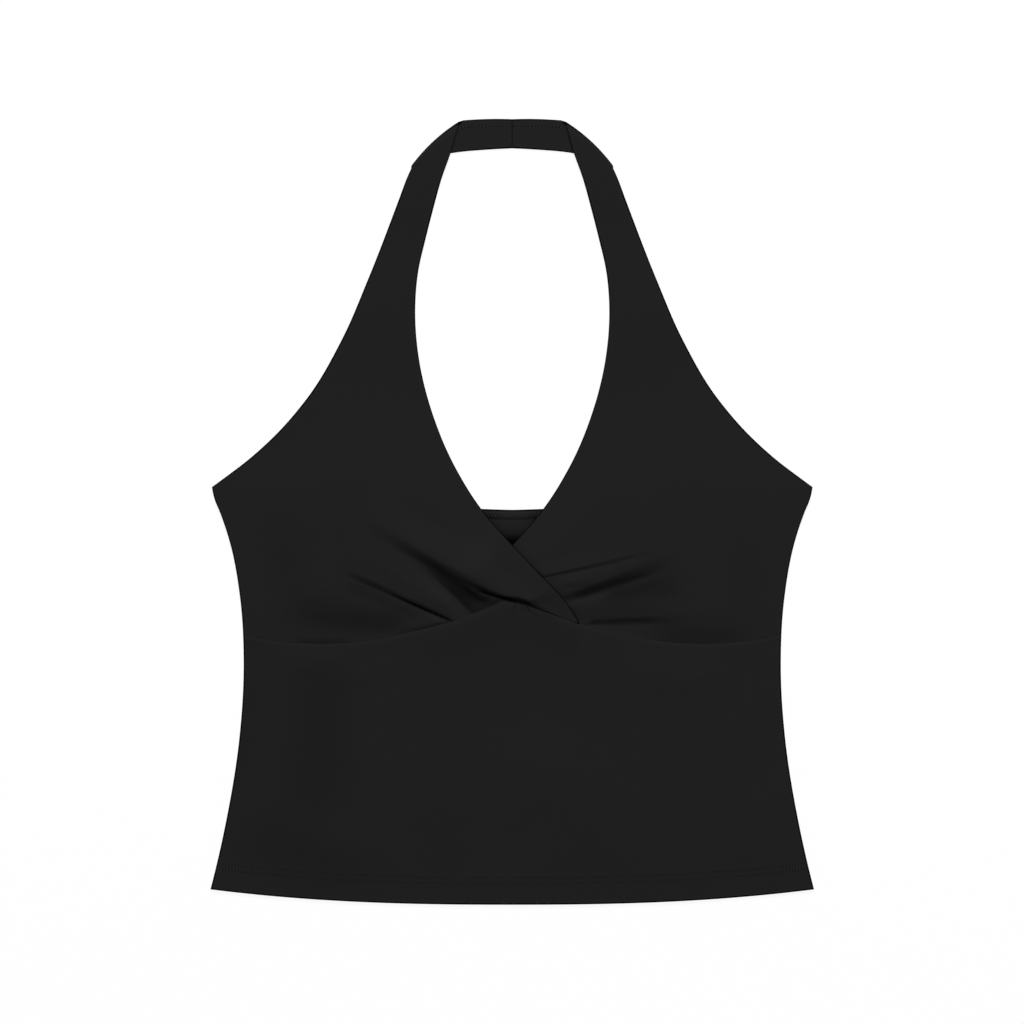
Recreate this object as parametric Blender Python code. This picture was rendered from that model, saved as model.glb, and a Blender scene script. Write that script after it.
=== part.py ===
"""Halter neck top of smooth jersey, laid flat with its front up.

The back panel lies on the surface, and the midriff panel and the two crossed cups lie on it. Each cup is
cut in one with its strap. The strap folds over at the shoulder and runs back underneath, to a seam at the
centre back of the neck. Sizes are in millimetres and the model is in metres: +X is to the viewer's right,
+Y towards the neck and +Z up from the surface. The left cup, at -X, crosses over the right one.
"""
import math

import bmesh
import bpy
import numpy as np

MM = 0.001

# Driving dimensions, in millimetres
CLOTH = 1.4                # thickness of every cloth wall
GAP = 0.3                  # clear space between layers
SEAM_GAP = 0.5             # and between the cut edges at a seam
FACET_GAP = 0.1            # more of it where both layers are curved
HALF_LENGTH = 255.2        # how far the hem lies from the middle
BAND_TOP_Y = 255.4         # the neck band's upper edge
HEM_HALF = 196.1           # half the width at the hem
HEM_CORNER_Y = -245.2      # height of the hem's corners
HEM_POWER = 2.5            # how squarely the hem sags between them
UNDERARM_X = 195.1         # the underarm corners
UNDERARM_Y = 16.2
BACK_DIP = 14.8            # how far the back's top edge dips between the underarms
BACK_DIP_MIDDLE = 1.3      # how round it is in the middle, where 1 is a point
BACK_DIP_POWER = 0.8       # and how steeply it leaves the underarms
CROSS_END_X = 42.4         # where the crossing edge ends, in the seam under the bust
CROSS_END_Y = -70.6
CROSS_POINT_Y = -21.3      # where the two neck edges cross
BEND_INNER = GAP / 2       # radii of the turn at the shoulder fold
BEND_OUTER = BEND_INNER + CLOTH

# Side edge, armhole edge and neck edge, as x at heights y; the neck edge is the left cup's, mirrored
SIDE = (
    # y,      x
    (HEM_CORNER_Y, HEM_HALF),
    (-199.8, 185.7),
    (-147.8, 177.4),
    (-99.1, 174.5),
    (-56.8, 176.7),
    (-17.8, 184.0),
    (0.0, 190.0),
    (8.0, 193.3),
    (UNDERARM_Y, UNDERARM_X),
)
ARMHOLE = (
    # y,      x
    (UNDERARM_Y, UNDERARM_X),
    (21.8, 187.5),
    (33.5, 172.1),
    (46.5, 157.5),
    (72.5, 134.5),
    (111.5, 111.1),
    (151.2, 93.8),
    (203.2, 73.6),
    (218.0, 68.0),
    (227.1, 63.7),
)
NECK_EDGE = (
    # y,      x, past the centre line where it is negative
    (CROSS_END_Y, -CROSS_END_X),
    (-58.8, -35.3),
    (-41.2, -19.0),
    (CROSS_POINT_Y, 0.0),
    (1.7, 19.9),
    (27.7, 36.3),
    (66.7, 52.7),
    (105.7, 61.5),
    (135.0, 63.0),
    (157.0, 61.0),
    (177.2, 56.4),
    (196.0, 51.6),
    (216.2, 46.0),
    (236.0, 39.1),
    (251.0, 35.3),
)
BUST_SEAM = (
    # x,     y
    (0.0, -57.5),
    (6.0, -58.3),
    (14.0, -61.7),
    (39.0, -71.0),
    (64.5, -77.5),
    (96.0, -83.7),
    (130.0, -85.4),
    (160.0, -82.6),
    (174.8, -79.4),
)
BAND_LOWER = (
    # x,    y
    (0.0, 236.4),
    (20.0, 235.3),
    (31.0, 234.4),
    (40.4, 233.1),
    (59.9, 227.7),
)
BAND_UPPER = (
    # x,    y
    (0.0, BAND_TOP_Y),
    (20.0, BAND_TOP_Y),
    (31.4, 254.7),
)

# The shoulder fold: where the upper layer, the outermost line and the lower layer run, from the armhole
# edge to the neck edge
FOLD_TOP_Y = (223.4, 248.5)
FOLD_OUT = ((-63.7, 227.1), (-33.2, 254.2))
FOLD_BOTTOM = ((-59.9, 227.7), (-31.4, 254.7))
FOLD_BULGE = 1.8           # how far its layers bow outwards
FOLD_OUT_BULGE = 2.2       # and its outermost line
FOLD_CORNER = 0.58         # how much less it reaches out at its neck end
FOLD_CORNER_FROM = 0.92    # over this last share of the fold

# How the cups stand off the back panel
FULLNESS = 2.6             # of a cup at its fullest
FULL_FROM_Y = -10.0        # it runs out between these heights
FULL_TOP_Y = 88.0
FULL_SIDE = 66.0           # how far it takes to grow from the side edge
FULL_NECK = 34.0           # and from the neck edge
NECK_SHARE = 0.25          # share of it that is left at the neck edge
TAIL = 32.0                # it falls off over this length towards the crossing
TAIL_SHARE = 0.2           # share of it that is left past the crossing
PINCH_SIDE = 22.0          # how far it takes to grow from the seam under the bust, at the side
PINCH_KNOT = 4.5           # and at the knot
PINCH_SHARE = 0.05         # share of it that is left at the seam
KNOT = (-30.0, 46.0)       # the knot's stretch of the seam
KNOT_SPAN = 26.0
CROSS_LIFT = 3.0           # how far the crossing stands up
CROSS_Y = -26.0            # its middle
CROSS_SPREAD = 21.0
FOLD_START = 2.5           # the folds grow over this length from the seam
FOLD_CLEAR = 3.0           # and the under cup's start this far outside the over cup's edge
SOFT_CLIP = 0.3            # how softly a trough bottoms out, in square millimetres
EDGE_LEAD = 4.0            # an upper layer is up this far before it meets an edge under it
BACK_RAMP = 90.0           # length of the rise onto the back panel
CUP_RAMP = 20.0            # and onto the other cup
CUP_RAMP_SLANT = 0.75      # the crossing edge is slanted, so a step along x is this much shorter across it
BAND_RAMP = 60.0           # and onto the strap's own back end

# How the front panel lies
SLACK = 0.7                # how far it stands off the back panel
SLACK_SIDE = 30.0          # how far that takes to grow from the side edge
SLACK_HEM = 40.0           # and from the hem
SLACK_SEAM = 8.0           # and from the seam under the bust
SEAM_SHARE = 0.3           # share of it that is left at the seam
SEAM_SPREAD = 30.0         # the panel follows the cups' edge over this length
SEAM_BLEND = 12.0          # length over which the seam's upper side passes from one cup to the other

# Troughs and ridges: height at the middle, path through three points, widths to the path's left and
# right at its start and end, and the shares of the path over which it fades in and out
OVER_FOLDS = (
    # name, height, start, middle, end, left widths, right widths, in, out
    ("wrap roll", 4.2, (-100, 3), (-56, -26), (-8, -48), (18, 26), (9, 13), 0.6, 0.35),
    ("knot roll", 2.2, (-44, -35), (-8, -49), (32, -61), (20, 14), (6, 5), 0.45, 0.45),
    ("wedge", -2.5, (-86, -12), (-54, -42.5), (-29, -65), (6, 15), (4, 6), 0.45, 0.03),
    ("knot crease", -2.2, (-27, -49.5), (-13, -55), (4, -58.4), (4, 4), (4, 4), 0.4, 0.02),
    ("cup roll", 1.2, (-104, -22), (-72, -42), (-33, -66), (5, 5), (11, 9), 0.5, 0.05),
    ("sharp fold", -2.1, (-112, -36), (-73, -56.8), (-37, -71.6), (6, 4), (6, 4), 0.5, 0.04),
)
UNDER_FOLDS = (
    # name, height, start, middle, end, left widths, right widths, in, out
    ("crisp ridge", 1.1, (10, -43), (52, -34.6), (94, -23.5), (10, 12), (4, 4), 0.02, 0.85),
    ("breast roll", 0.9, (30, -48), (62, -38), (104, -24), (8, 8), (9, 9), 0.15, 0.4),
    ("soft valley", -2.1, (26, -62), (64, -49.5), (113, -31), (4, 9), (4, 7), 0.1, 0.5),
    ("lower roll", 1.0, (30, -66), (74, -60), (112, -54), (6, 6), (9, 9), 0.2, 0.4),
    ("low fold", -1.8, (38, -76), (70, -72.5), (106, -71.5), (4, 4), (4, 5), 0.12, 0.45),
    ("low floor", -1.2, (40, -80), (72, -78), (116, -77), (7, 10), (8, 8), 0.12, 0.6),
)
MIDRIFF_FOLDS = (
    # name, height, start, middle, end, left widths, right widths, in, out
    ("left slack", 0.9, (-150, -100), (-105, -104), (-60, -92), (14, 14), (16, 16), 0.4, 0.4),
    ("right slack", 0.7, (60, -98), (108, -108), (150, -104), (14, 14), (16, 16), 0.4, 0.4),
    ("waist swell", 1.0, (-110, -190), (0, -176), (110, -192), (46, 46), (50, 50), 0.35, 0.35),
)

# Mesh steps
CUP_STEP = 4.2             # between points across a cup
CHEST_STEP = 6.5           # and across its chest and strap
MIDRIFF_STEP = 9.0
BACK_STEP = 26.0
CROWD = 0.35               # how much closer the points stand towards the crossing
OVER_MESH = (0.5, 0.0)     # how much a cup's columns lean, and its rows bow, along its folds
UNDER_MESH = (0.1, 0.2)
STRAP_POINTS = 6           # fewest points across a strap
CUP_ROWS = 24
CHEST_ROWS = 27
CHEST_LAG = 0.38           # the rows' neck ends fall behind their armhole ends on the way up
SHOULDER_ROWS = 7
BEND_ROWS = 5
BAND_ROWS = 8
MIDRIFF_ROWS = 16
BACK_ROWS = 12
STRAP_TURN_Y = 204.0       # height on the armhole edge where the rows start to turn to the fold
STRAP_TURN_IN_Y = 195.0    # and on the neck edge
FOLD_SAMPLES = 20
SHARP_ANGLE = 50.0         # degrees, above which an edge is shaded sharp

BLACK_JERSEY = (0.0130, 0.0130, 0.0132)
JERSEY_ROUGHNESS = 0.85


def ease(t):
    t = np.clip(t, 0.0, 1.0)
    return t * t * (3.0 - 2.0 * t)


def curve_through(table, q):
    """Smooth curve through a table of (position, value), read at the positions q."""
    knots = np.array([row[0] for row in table], float)
    values = np.array([row[1] for row in table], float)
    steps = np.diff(knots)
    secants = np.diff(values) / steps
    slopes = np.empty_like(values)
    slopes[0] = secants[0] + (secants[0] - secants[1]) * steps[0] / (steps[0] + steps[1])
    slopes[-1] = secants[-1] + (secants[-1] - secants[-2]) * steps[-1] / (steps[-1] + steps[-2])
    slopes[1:-1] = (secants[:-1] * steps[1:] + secants[1:] * steps[:-1]) / (steps[1:] + steps[:-1])
    q = np.asarray(q, float)
    i = np.clip(np.searchsorted(knots, q) - 1, 0, len(steps) - 1)
    t = (q - knots[i]) / steps[i]
    rise = values[i] * (1 + 2 * t) * (1 - t) ** 2 + values[i + 1] * t * t * (3 - 2 * t)
    lean = slopes[i] * t * (1 - t) ** 2 - slopes[i + 1] * t * t * (1 - t)
    return rise + lean * steps[i]


def side_x(y):
    return curve_through(SIDE, y)


def armhole_x(y):
    return curve_through(ARMHOLE, y)


def neck_x(y):
    return curve_through(NECK_EDGE, y)


def neck_edge_x(y):
    """The neck edge's x, also read beyond its ends."""
    return neck_x(np.clip(y, CROSS_END_Y, NECK_EDGE[-1][0]))


def bust_seam_y(x):
    return curve_through(BUST_SEAM, np.minimum(np.abs(x), BUST_SEAM[-1][0]))


def hem_y(x):
    """The hem sags gently from its corners to the centre."""
    return -HALF_LENGTH + (HALF_LENGTH + HEM_CORNER_Y) * np.abs(np.asarray(x) / HEM_HALF) ** HEM_POWER


def back_top_y(x):
    """The back's top edge, from underarm to underarm."""
    across = np.minimum(np.abs(np.asarray(x) / UNDERARM_X), 1)
    return UNDERARM_Y - BACK_DIP * (1 - across ** BACK_DIP_MIDDLE) ** BACK_DIP_POWER


def fold_relief(x, y, folds):
    """Sum of the troughs and ridges at the points."""
    relief = np.zeros_like(x)
    for _, height, start, middle, end, left, right, fade_in, fade_out in folds:
        start, middle, end = np.array(start, float), np.array(middle, float), np.array(end, float)
        pull = 2 * middle - (start + end) / 2
        t = np.linspace(0, 1, FOLD_SAMPLES + 1)[:, None]
        path = (1 - t) ** 2 * start + 2 * t * (1 - t) * pull + t * t * end
        nearest = np.full(x.shape, 1e9)
        side = np.zeros_like(x)
        along = np.zeros_like(x)
        for i in range(FOLD_SAMPLES):
            run = path[i + 1] - path[i]
            dx, dy = x - path[i][0], y - path[i][1]
            share = np.clip((dx * run[0] + dy * run[1]) / (run @ run), 0, 1)
            away = np.hypot(dx - share * run[0], dy - share * run[1])
            closer = away < nearest
            nearest = np.where(closer, away, nearest)
            side = np.where(closer, run[0] * dy - run[1] * dx, side)
            along = np.where(closer, (i + share) / FOLD_SAMPLES, along)
        left_width = left[0] + (left[1] - left[0]) * along
        right_width = right[0] + (right[1] - right[0]) * along
        reach = np.where(side > 0, left_width, right_width)
        fade = ease(along / fade_in) * ease((1 - along) / fade_out)
        relief += height * fade * (1 - ease(nearest / reach))
    return relief


def back_support(x, y):
    """Height that the front's layers rest at: on the back panel, or beyond its top edge on the surface."""
    beyond = y - back_top_y(x) - EDGE_LEAD
    return (CLOTH + GAP) * (1 - ease(beyond / BACK_RAMP))


def band_support(x, y):
    """Height that the front of a strap rests at where it lies on its own folded back end."""
    below = curve_through(BAND_LOWER, np.minimum(np.abs(x), ARMHOLE[-1][1])) - y - EDGE_LEAD
    return (CLOTH + GAP) * (1 - ease(below / BAND_RAMP))


def cross_lift(x, y):
    return CROSS_LIFT * np.exp(-(x * x + (y - CROSS_Y) ** 2) / (2 * CROSS_SPREAD ** 2))


def pinch_width(x):
    """How far the relief takes to grow from the seam under the bust."""
    away = np.maximum(KNOT[0] - x, x - KNOT[1])
    return PINCH_KNOT + (PINCH_SIDE - PINCH_KNOT) * ease(away / KNOT_SPAN)


def cup_relief(x, y, folds, lift):
    """How far a cup stands off what it lies on. x runs from its own side edge, at -X, to the crossing."""
    side = np.where(y < UNDERARM_Y, side_x(np.minimum(y, UNDERARM_Y)),
                    armhole_x(np.clip(y, UNDERARM_Y, ARMHOLE[-1][0])))
    full = FULLNESS * ease((side + x) / FULL_SIDE)
    full = full * (NECK_SHARE + (1 - NECK_SHARE) * ease((-x - neck_edge_x(y)) / FULL_NECK))
    full = full * (1 - ease((y - FULL_FROM_Y) / (FULL_TOP_Y - FULL_FROM_Y)))
    full = full * (1 - (1 - TAIL_SHARE) * ease((x + TAIL) / TAIL))
    above = y - bust_seam_y(x)
    grown = PINCH_SHARE + (1 - PINCH_SHARE) * ease(above / pinch_width(x))
    total = (full + lift) * grown + folds * ease(above / FOLD_START)
    return (total + np.sqrt(total * total + SOFT_CLIP)) / 2


def under_cup_height(x, y):
    """Underside of the cup on the right, which passes under the other and is pressed flat there."""
    folds = fold_relief(x, y, UNDER_FOLDS) * ease((x + neck_edge_x(y) - FOLD_CLEAR) / FOLD_CLEAR)
    support = np.maximum(back_support(x, y), band_support(x, y))
    return support + cup_relief(-x, y, folds, cross_lift(x, y))


def over_cup_height(x, y):
    """Underside of the cup on the left, which crosses over the other and rises onto it."""
    folds = fold_relief(x, y, OVER_FOLDS)
    support = np.maximum(back_support(x, y), band_support(x, y))
    off_edge = (neck_edge_x(y) - x - EDGE_LEAD) * CUP_RAMP_SLANT
    on_under = (1 - ease(off_edge / CUP_RAMP)) * (y < UNDERARM_Y)
    above = under_cup_height(x, y) + CLOTH + GAP + FACET_GAP
    lift = cross_lift(x, y) * (1 - on_under)
    return support + on_under * (above - support) + cup_relief(x, y, folds, lift)


def seam_height(x):
    """Underside of the cup that is uppermost at the seam under the bust."""
    y = bust_seam_y(x) + SEAM_GAP / 2
    on_under = ease((x - CROSS_END_X) / SEAM_BLEND + 0.5)
    return over_cup_height(x, y) * (1 - on_under) + under_cup_height(x, y) * on_under


def midriff_height(x, y):
    """Underside of the front panel, slack over the back panel and sewn to the cups along its top."""
    to_side = side_x(y) - np.abs(x)
    to_seam = bust_seam_y(x) - y
    held = ease(to_side / SLACK_SIDE) * ease((y - hem_y(x)) / SLACK_HEM)
    held = held * (SEAM_SHARE + (1 - SEAM_SHARE) * ease(to_seam / SLACK_SEAM))
    slack = held * np.maximum(0, SLACK + fold_relief(x, y, MIDRIFF_FOLDS))
    rise = np.maximum(0, seam_height(x) - CLOTH - GAP)
    return CLOTH + GAP + slack + (1 - ease(to_seam / SEAM_SPREAD)) * rise


def crowd(count, amount):
    """Even shares from 0 to 1, drawn together towards 1 by the amount."""
    s = np.linspace(0, 1, count)
    return s + amount * s * (1 - s)


def points_across(width, step, least):
    return max(least, int(round(width / step)) + 1)


def bridge(first, second, first_start, second_start):
    """Triangles between two rows of points, given how far along each point is."""
    i, j, faces = 0, 0, []
    while i < len(first) - 1 or j < len(second) - 1:
        last_first, last_second = i == len(first) - 1, j == len(second) - 1
        if last_second or (not last_first and first[i + 1] + first[i] < second[j + 1] + second[j]):
            faces.append((first_start + i, first_start + i + 1, second_start + j))
            i += 1
        else:
            faces.append((first_start + i, second_start + j + 1, second_start + j))
            j += 1
    return faces


def make_wall(name, shares, faces_out, faces_in):
    """One closed cloth wall from rows of points on its right side and its wrong side."""
    starts = np.concatenate([[0], np.cumsum([len(row) for row in shares])])
    total = int(starts[-1])
    points = np.vstack(faces_out + faces_in) * MM
    triangles = []
    for k in range(len(shares) - 1):
        strip = bridge(shares[k], shares[k + 1], int(starts[k]), int(starts[k + 1]))
        triangles += strip
        triangles += [(c + total, b + total, a + total) for a, b, c in strip]
    rim = list(range(len(shares[0])))
    rim += [int(s) - 1 for s in starts[2:]]
    rim += list(range(total - 2, int(starts[-2]) - 1, -1))
    rim += [int(s) for s in starts[-3:0:-1]]
    for a, b in zip(rim, rim[1:] + rim[:1]):
        triangles.append((b, a, a + total, b + total))
    shape = bmesh.new()
    verts = [shape.verts.new(p) for p in points]
    for corners in triangles:
        shape.faces.new([verts[c] for c in corners])
    bmesh.ops.recalc_face_normals(shape, faces=shape.faces)
    mesh = bpy.data.meshes.new(name)
    shape.to_mesh(mesh)
    shape.free()
    mesh.shade_smooth()
    mesh.set_sharp_from_angle(angle=math.radians(SHARP_ANGLE))
    piece = bpy.data.objects.new(name, mesh)
    bpy.context.scene.collection.objects.link(piece)
    return piece


def jersey(name):
    material = bpy.data.materials.new(name)
    material.use_nodes = True
    shader = material.node_tree.nodes["Principled BSDF"]
    shader.inputs["Base Color"].default_value = (*BLACK_JERSEY, 1)
    shader.inputs["Roughness"].default_value = JERSEY_ROUGHNESS
    shader.inputs["Metallic"].default_value = 0
    material.diffuse_color = (*BLACK_JERSEY, 1)
    return material


def panel_rows(lower, upper, low_y, high_y, rows, step, height):
    """Rows of a panel that spans both sides, between a lower and an upper edge."""
    shares, plan = [], []
    for v in np.linspace(0, 1, rows):
        y_side = low_y + v * (high_y - low_y)
        half = float(side_x(y_side))
        u = np.linspace(-1, 1, points_across(2 * half, step, 3))
        x = u * half
        y = y_side + (1 - v) * (lower(x) - low_y) + v * (upper(x) - high_y)
        shares.append((u + 1) / 2)
        plan.append((x, y))
    under = [np.column_stack([x, y, height(x, y)]) for x, y in plan]
    over = [row + (0, 0, CLOTH) for row in under]
    return shares, over, under


def make_back_panel():
    rows = panel_rows(hem_y, back_top_y, HEM_CORNER_Y, UNDERARM_Y, BACK_ROWS, BACK_STEP,
                      lambda x, y: np.zeros_like(x))
    return make_wall("back_panel", *rows)


def make_front_midriff():
    def top_edge(x):
        return bust_seam_y(x) - SEAM_GAP / 2

    rows = panel_rows(hem_y, top_edge, HEM_CORNER_Y, float(top_edge(BUST_SEAM[-1][0])), MIDRIFF_ROWS,
                      MIDRIFF_STEP, midriff_height)
    return make_wall("front_midriff", *rows)


def cup_patch_row(v, count, lean, bow):
    """A row of the cup between the seam under the bust, at v = 0, and the underarm, at v = 1."""
    u = crowd(count, CROWD + lean * (1 - 2 * v))
    w = u[:, None]
    v = v + bow * 16 * w * (1 - w) * v * (1 - v)
    x_seam = -BUST_SEAM[-1][0] + u * (BUST_SEAM[-1][0] + CROSS_END_X)
    seam = np.column_stack([x_seam, bust_seam_y(x_seam) + SEAM_GAP / 2])
    corner = np.array([-UNDERARM_X, UNDERARM_Y])
    crossing = np.array([-float(neck_x(CROSS_POINT_Y)), CROSS_POINT_Y])
    top = corner + w * (crossing - corner)
    y_left = seam[0][1] + v * (UNDERARM_Y - seam[0][1])
    left = np.hstack([-side_x(y_left), y_left])
    y_right = seam[-1][1] + v * (CROSS_POINT_Y - seam[-1][1])
    right = np.hstack([-neck_x(y_right), y_right])
    sides = (1 - w) * left + w * right
    corners = (1 - w) * ((1 - v) * seam[0] + v * corner) + w * ((1 - v) * seam[-1] + v * crossing)
    return u, (1 - v) * seam + v * top + sides - corners


def straight_row(outer, inner, u, bulge):
    """Points from the armhole edge to the neck edge, bowed outwards by the bulge."""
    outer, inner = np.array(outer, float), np.array(inner, float)
    run = inner - outer
    normal = np.array([-run[1], run[0]]) / np.hypot(*run)
    bow = 4 * u * (1 - u) * bulge
    return outer + u[:, None] * run + bow[:, None] * normal


def cup_and_strap_rows(height, lean, bow):
    """Rows of a cup with its strap for the left side, from the seam under the bust to the centre back."""
    shares, right_side, wrong_side = [], [], []

    def add_front(u, plan):
        low = height(plan[:, 0], plan[:, 1])
        shares.append(u)
        wrong_side.append(np.column_stack([plan, low]))
        right_side.append(np.column_stack([plan, low + CLOTH]))

    def edge_points(y_out, y_in):
        return (-float(armhole_x(y_out)), y_out), (-float(neck_x(y_in)), y_in)

    cup_points = points_across(BUST_SEAM[-1][0] + CROSS_END_X, CUP_STEP, STRAP_POINTS)
    for v in crowd(CUP_ROWS, -CROWD):
        add_front(*cup_patch_row(v, cup_points, lean, bow))
    for s in np.linspace(0, 1, CHEST_ROWS)[1:]:
        lag = s * (1 - CHEST_LAG * (1 - s))
        ends = edge_points(UNDERARM_Y + (STRAP_TURN_Y - UNDERARM_Y) * s,
                           CROSS_POINT_Y + (STRAP_TURN_IN_Y - CROSS_POINT_Y) * lag)
        count = min(cup_points, points_across(math.dist(*ends), CHEST_STEP, STRAP_POINTS))
        u = crowd(count, (CROWD - lean) * (1 - s))
        add_front(u, straight_row(*ends, u, 0))
    u = np.linspace(0, 1, STRAP_POINTS + 1)
    for s in np.linspace(0, 1, SHOULDER_ROWS)[1:]:
        ends = edge_points(STRAP_TURN_Y + (FOLD_TOP_Y[0] - STRAP_TURN_Y) * s,
                           STRAP_TURN_IN_Y + (FOLD_TOP_Y[1] - STRAP_TURN_IN_Y) * s)
        top = straight_row(*ends, u, FOLD_BULGE * ease(s))
        add_front(u, top)
    bottom = straight_row(*FOLD_BOTTOM, u, FOLD_BULGE)
    reach = straight_row(*FOLD_OUT, u, FOLD_OUT_BULGE) - (top + bottom) / 2
    reach *= (1 - FOLD_CORNER * ease((u - FOLD_CORNER_FROM) / (1 - FOLD_CORNER_FROM)))[:, None]
    for turn in np.linspace(0, math.pi, BEND_ROWS + 2)[1:-1]:
        base = top + (bottom - top) * (1 - math.cos(turn)) / 2
        shares.append(u)
        for rows, radius in ((right_side, BEND_OUTER), (wrong_side, BEND_INNER)):
            plan = base + reach * math.sin(turn) * radius / BEND_OUTER
            z = CLOTH + GAP / 2 + radius * math.cos(turn)
            rows.append(np.column_stack([plan, np.full(len(u), z)]))
    for s in np.linspace(0, 1, BAND_ROWS):
        x_low = FOLD_BOTTOM[0][0] * (1 - s) - GAP / 2 * s
        x_high = FOLD_BOTTOM[1][0] * (1 - s) - GAP / 2 * s
        ends = ((x_low, float(curve_through(BAND_LOWER, -x_low))),
                (x_high, float(curve_through(BAND_UPPER, -x_high))))
        plan = straight_row(*ends, u, FOLD_BULGE * (1 - ease(2 * s)))
        shares.append(u)
        right_side.append(np.column_stack([plan, np.zeros(len(u))]))
        wrong_side.append(np.column_stack([plan, np.full(len(u), CLOTH)]))
    return shares, right_side, wrong_side


def make_over_cup():
    return make_wall("cup_strap_left", *cup_and_strap_rows(over_cup_height, *OVER_MESH))


def make_under_cup():
    """The under cup is laid out on the left and turned over to the right."""
    shares, right_side, wrong_side = cup_and_strap_rows(
        lambda x, y: under_cup_height(-x, y), *UNDER_MESH)
    mirror = (-1, 1, 1)
    return make_wall("cup_strap_right", shares, [row * mirror for row in right_side],
                     [row * mirror for row in wrong_side])


def main():
    for thing in list(bpy.data.objects):
        bpy.data.objects.remove(thing, do_unlink=True)
    garment = bpy.data.objects.new("halter_neck_top", None)
    bpy.context.scene.collection.objects.link(garment)
    for make in (make_back_panel, make_front_midriff, make_under_cup, make_over_cup):
        piece = make()
        piece.data.materials.append(jersey(piece.name + "_jersey"))
        piece.parent = garment


main()
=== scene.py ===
"""Looks of the halter neck top: smooth black jersey, laid flat with its front up.

Each cloth solid of the frame is replaced by a fine closed shell of the same form, with rounded edges, the
folds that run from the crossing, real stitches and a knitted material. Sizes are in millimetres until a
mesh is made. +X is to the viewer's right, +Y towards the neck and +Z up from the floor.
"""
import math

import bmesh
import bpy
import numpy as np
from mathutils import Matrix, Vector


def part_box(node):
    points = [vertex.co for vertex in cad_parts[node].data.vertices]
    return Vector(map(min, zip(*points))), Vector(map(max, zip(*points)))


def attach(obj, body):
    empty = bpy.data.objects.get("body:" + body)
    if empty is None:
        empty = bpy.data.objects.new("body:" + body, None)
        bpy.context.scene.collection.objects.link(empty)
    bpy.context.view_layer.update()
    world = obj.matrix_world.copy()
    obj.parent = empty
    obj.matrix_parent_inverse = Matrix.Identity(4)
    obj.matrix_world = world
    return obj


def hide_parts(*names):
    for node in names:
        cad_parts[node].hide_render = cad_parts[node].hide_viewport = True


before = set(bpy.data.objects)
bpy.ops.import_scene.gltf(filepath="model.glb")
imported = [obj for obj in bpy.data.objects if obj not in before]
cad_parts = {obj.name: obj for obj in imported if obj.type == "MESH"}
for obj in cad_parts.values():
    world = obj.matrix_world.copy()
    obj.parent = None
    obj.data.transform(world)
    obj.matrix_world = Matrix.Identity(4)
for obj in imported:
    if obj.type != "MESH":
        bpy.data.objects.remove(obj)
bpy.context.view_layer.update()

MM = 0.001

# ---------------- sizes from the frame, in millimetres
back_low, back_high = (np.array(corner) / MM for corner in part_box("back_panel"))
cup_low, cup_high = (np.array(corner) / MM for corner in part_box("cup_strap_left"))
CLOTH = float(back_high[2] - back_low[2])
HEM_HALF = float(back_high[0])
HALF_LENGTH = float(-back_low[1])
UNDERARM_Y = float(back_high[1])
UNDERARM_X = float(-cup_low[0])
CROSS_END_X = float(cup_high[0])

# ---------------- sizes of the cut, in millimetres
GAP = 0.3  # clear space between layers
SEAM_GAP = 0.03  # between the turned edges of a seam
HEM_CORNER_Y = -245.2
HEM_POWER = 2.5  # how late the hem's edge turns up towards its corners
BAND_TOP_Y = 255.4  # the neck band's upper edge
CROSS_END_Y = -70.6  # where the crossing edge ends, in the seam under the bust
CROSS_POINT_Y = -21.3  # where the two neck edges cross
BACK_DIP = 14.8  # how far the back's top edge dips between the underarms
BACK_DIP_POWERS = (1.3, 0.8)  # how flat the dip is in its middle, and how steep at its ends
BEND_RADIUS = GAP / 2 + CLOTH / 2
ROUND = CLOTH / 2  # radius of a turned edge
SEAM_ROUND = 0.25  # and of an edge that is sewn to its neighbour

SIDE = (
    # y,      x
    (HEM_CORNER_Y, HEM_HALF),
    (-199.8, 185.7),
    (-147.8, 177.4),
    (-99.1, 174.5),
    (-56.8, 176.7),
    (-17.8, 184.0),
    (0.0, 190.0),
    (8.0, 193.3),
    (UNDERARM_Y, UNDERARM_X),
)
ARMHOLE = (
    # y,      x
    (UNDERARM_Y, UNDERARM_X),
    (21.8, 187.5),
    (33.5, 172.1),
    (46.5, 157.5),
    (72.5, 134.5),
    (111.5, 111.1),
    (151.2, 93.8),
    (203.2, 73.6),
    (218.0, 68.0),
    (227.1, 63.7),
)
NECK_EDGE = (
    # y,      x, past the centre line where it is negative
    (CROSS_END_Y, -CROSS_END_X),
    (-58.8, -35.3),
    (-41.2, -19.0),
    (CROSS_POINT_Y, 0.0),
    (1.7, 19.9),
    (27.7, 36.3),
    (66.7, 52.7),
    (105.7, 61.5),
    (135.0, 63.0),
    (157.0, 61.0),
    (177.2, 56.4),
    (196.0, 51.6),
    (216.2, 46.0),
    (236.0, 39.1),
    (251.0, 35.3),
)
BUST_SEAM = (
    # x,     y
    (0.0, -57.5),
    (6.0, -58.3),
    (14.0, -61.7),
    (39.0, -71.0),
    (64.5, -77.5),
    (96.0, -83.7),
    (130.0, -85.4),
    (160.0, -82.6),
    (174.8, -79.4),
)
BAND_LOWER = (
    # x,    y
    (0.0, 236.4),
    (20.0, 235.3),
    (31.0, 234.4),
    (40.4, 233.1),
    (59.9, 227.7),
)
BAND_UPPER = (
    # x,    y
    (0.0, BAND_TOP_Y),
    (20.0, BAND_TOP_Y),
    (31.4, 254.7),
)
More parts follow.
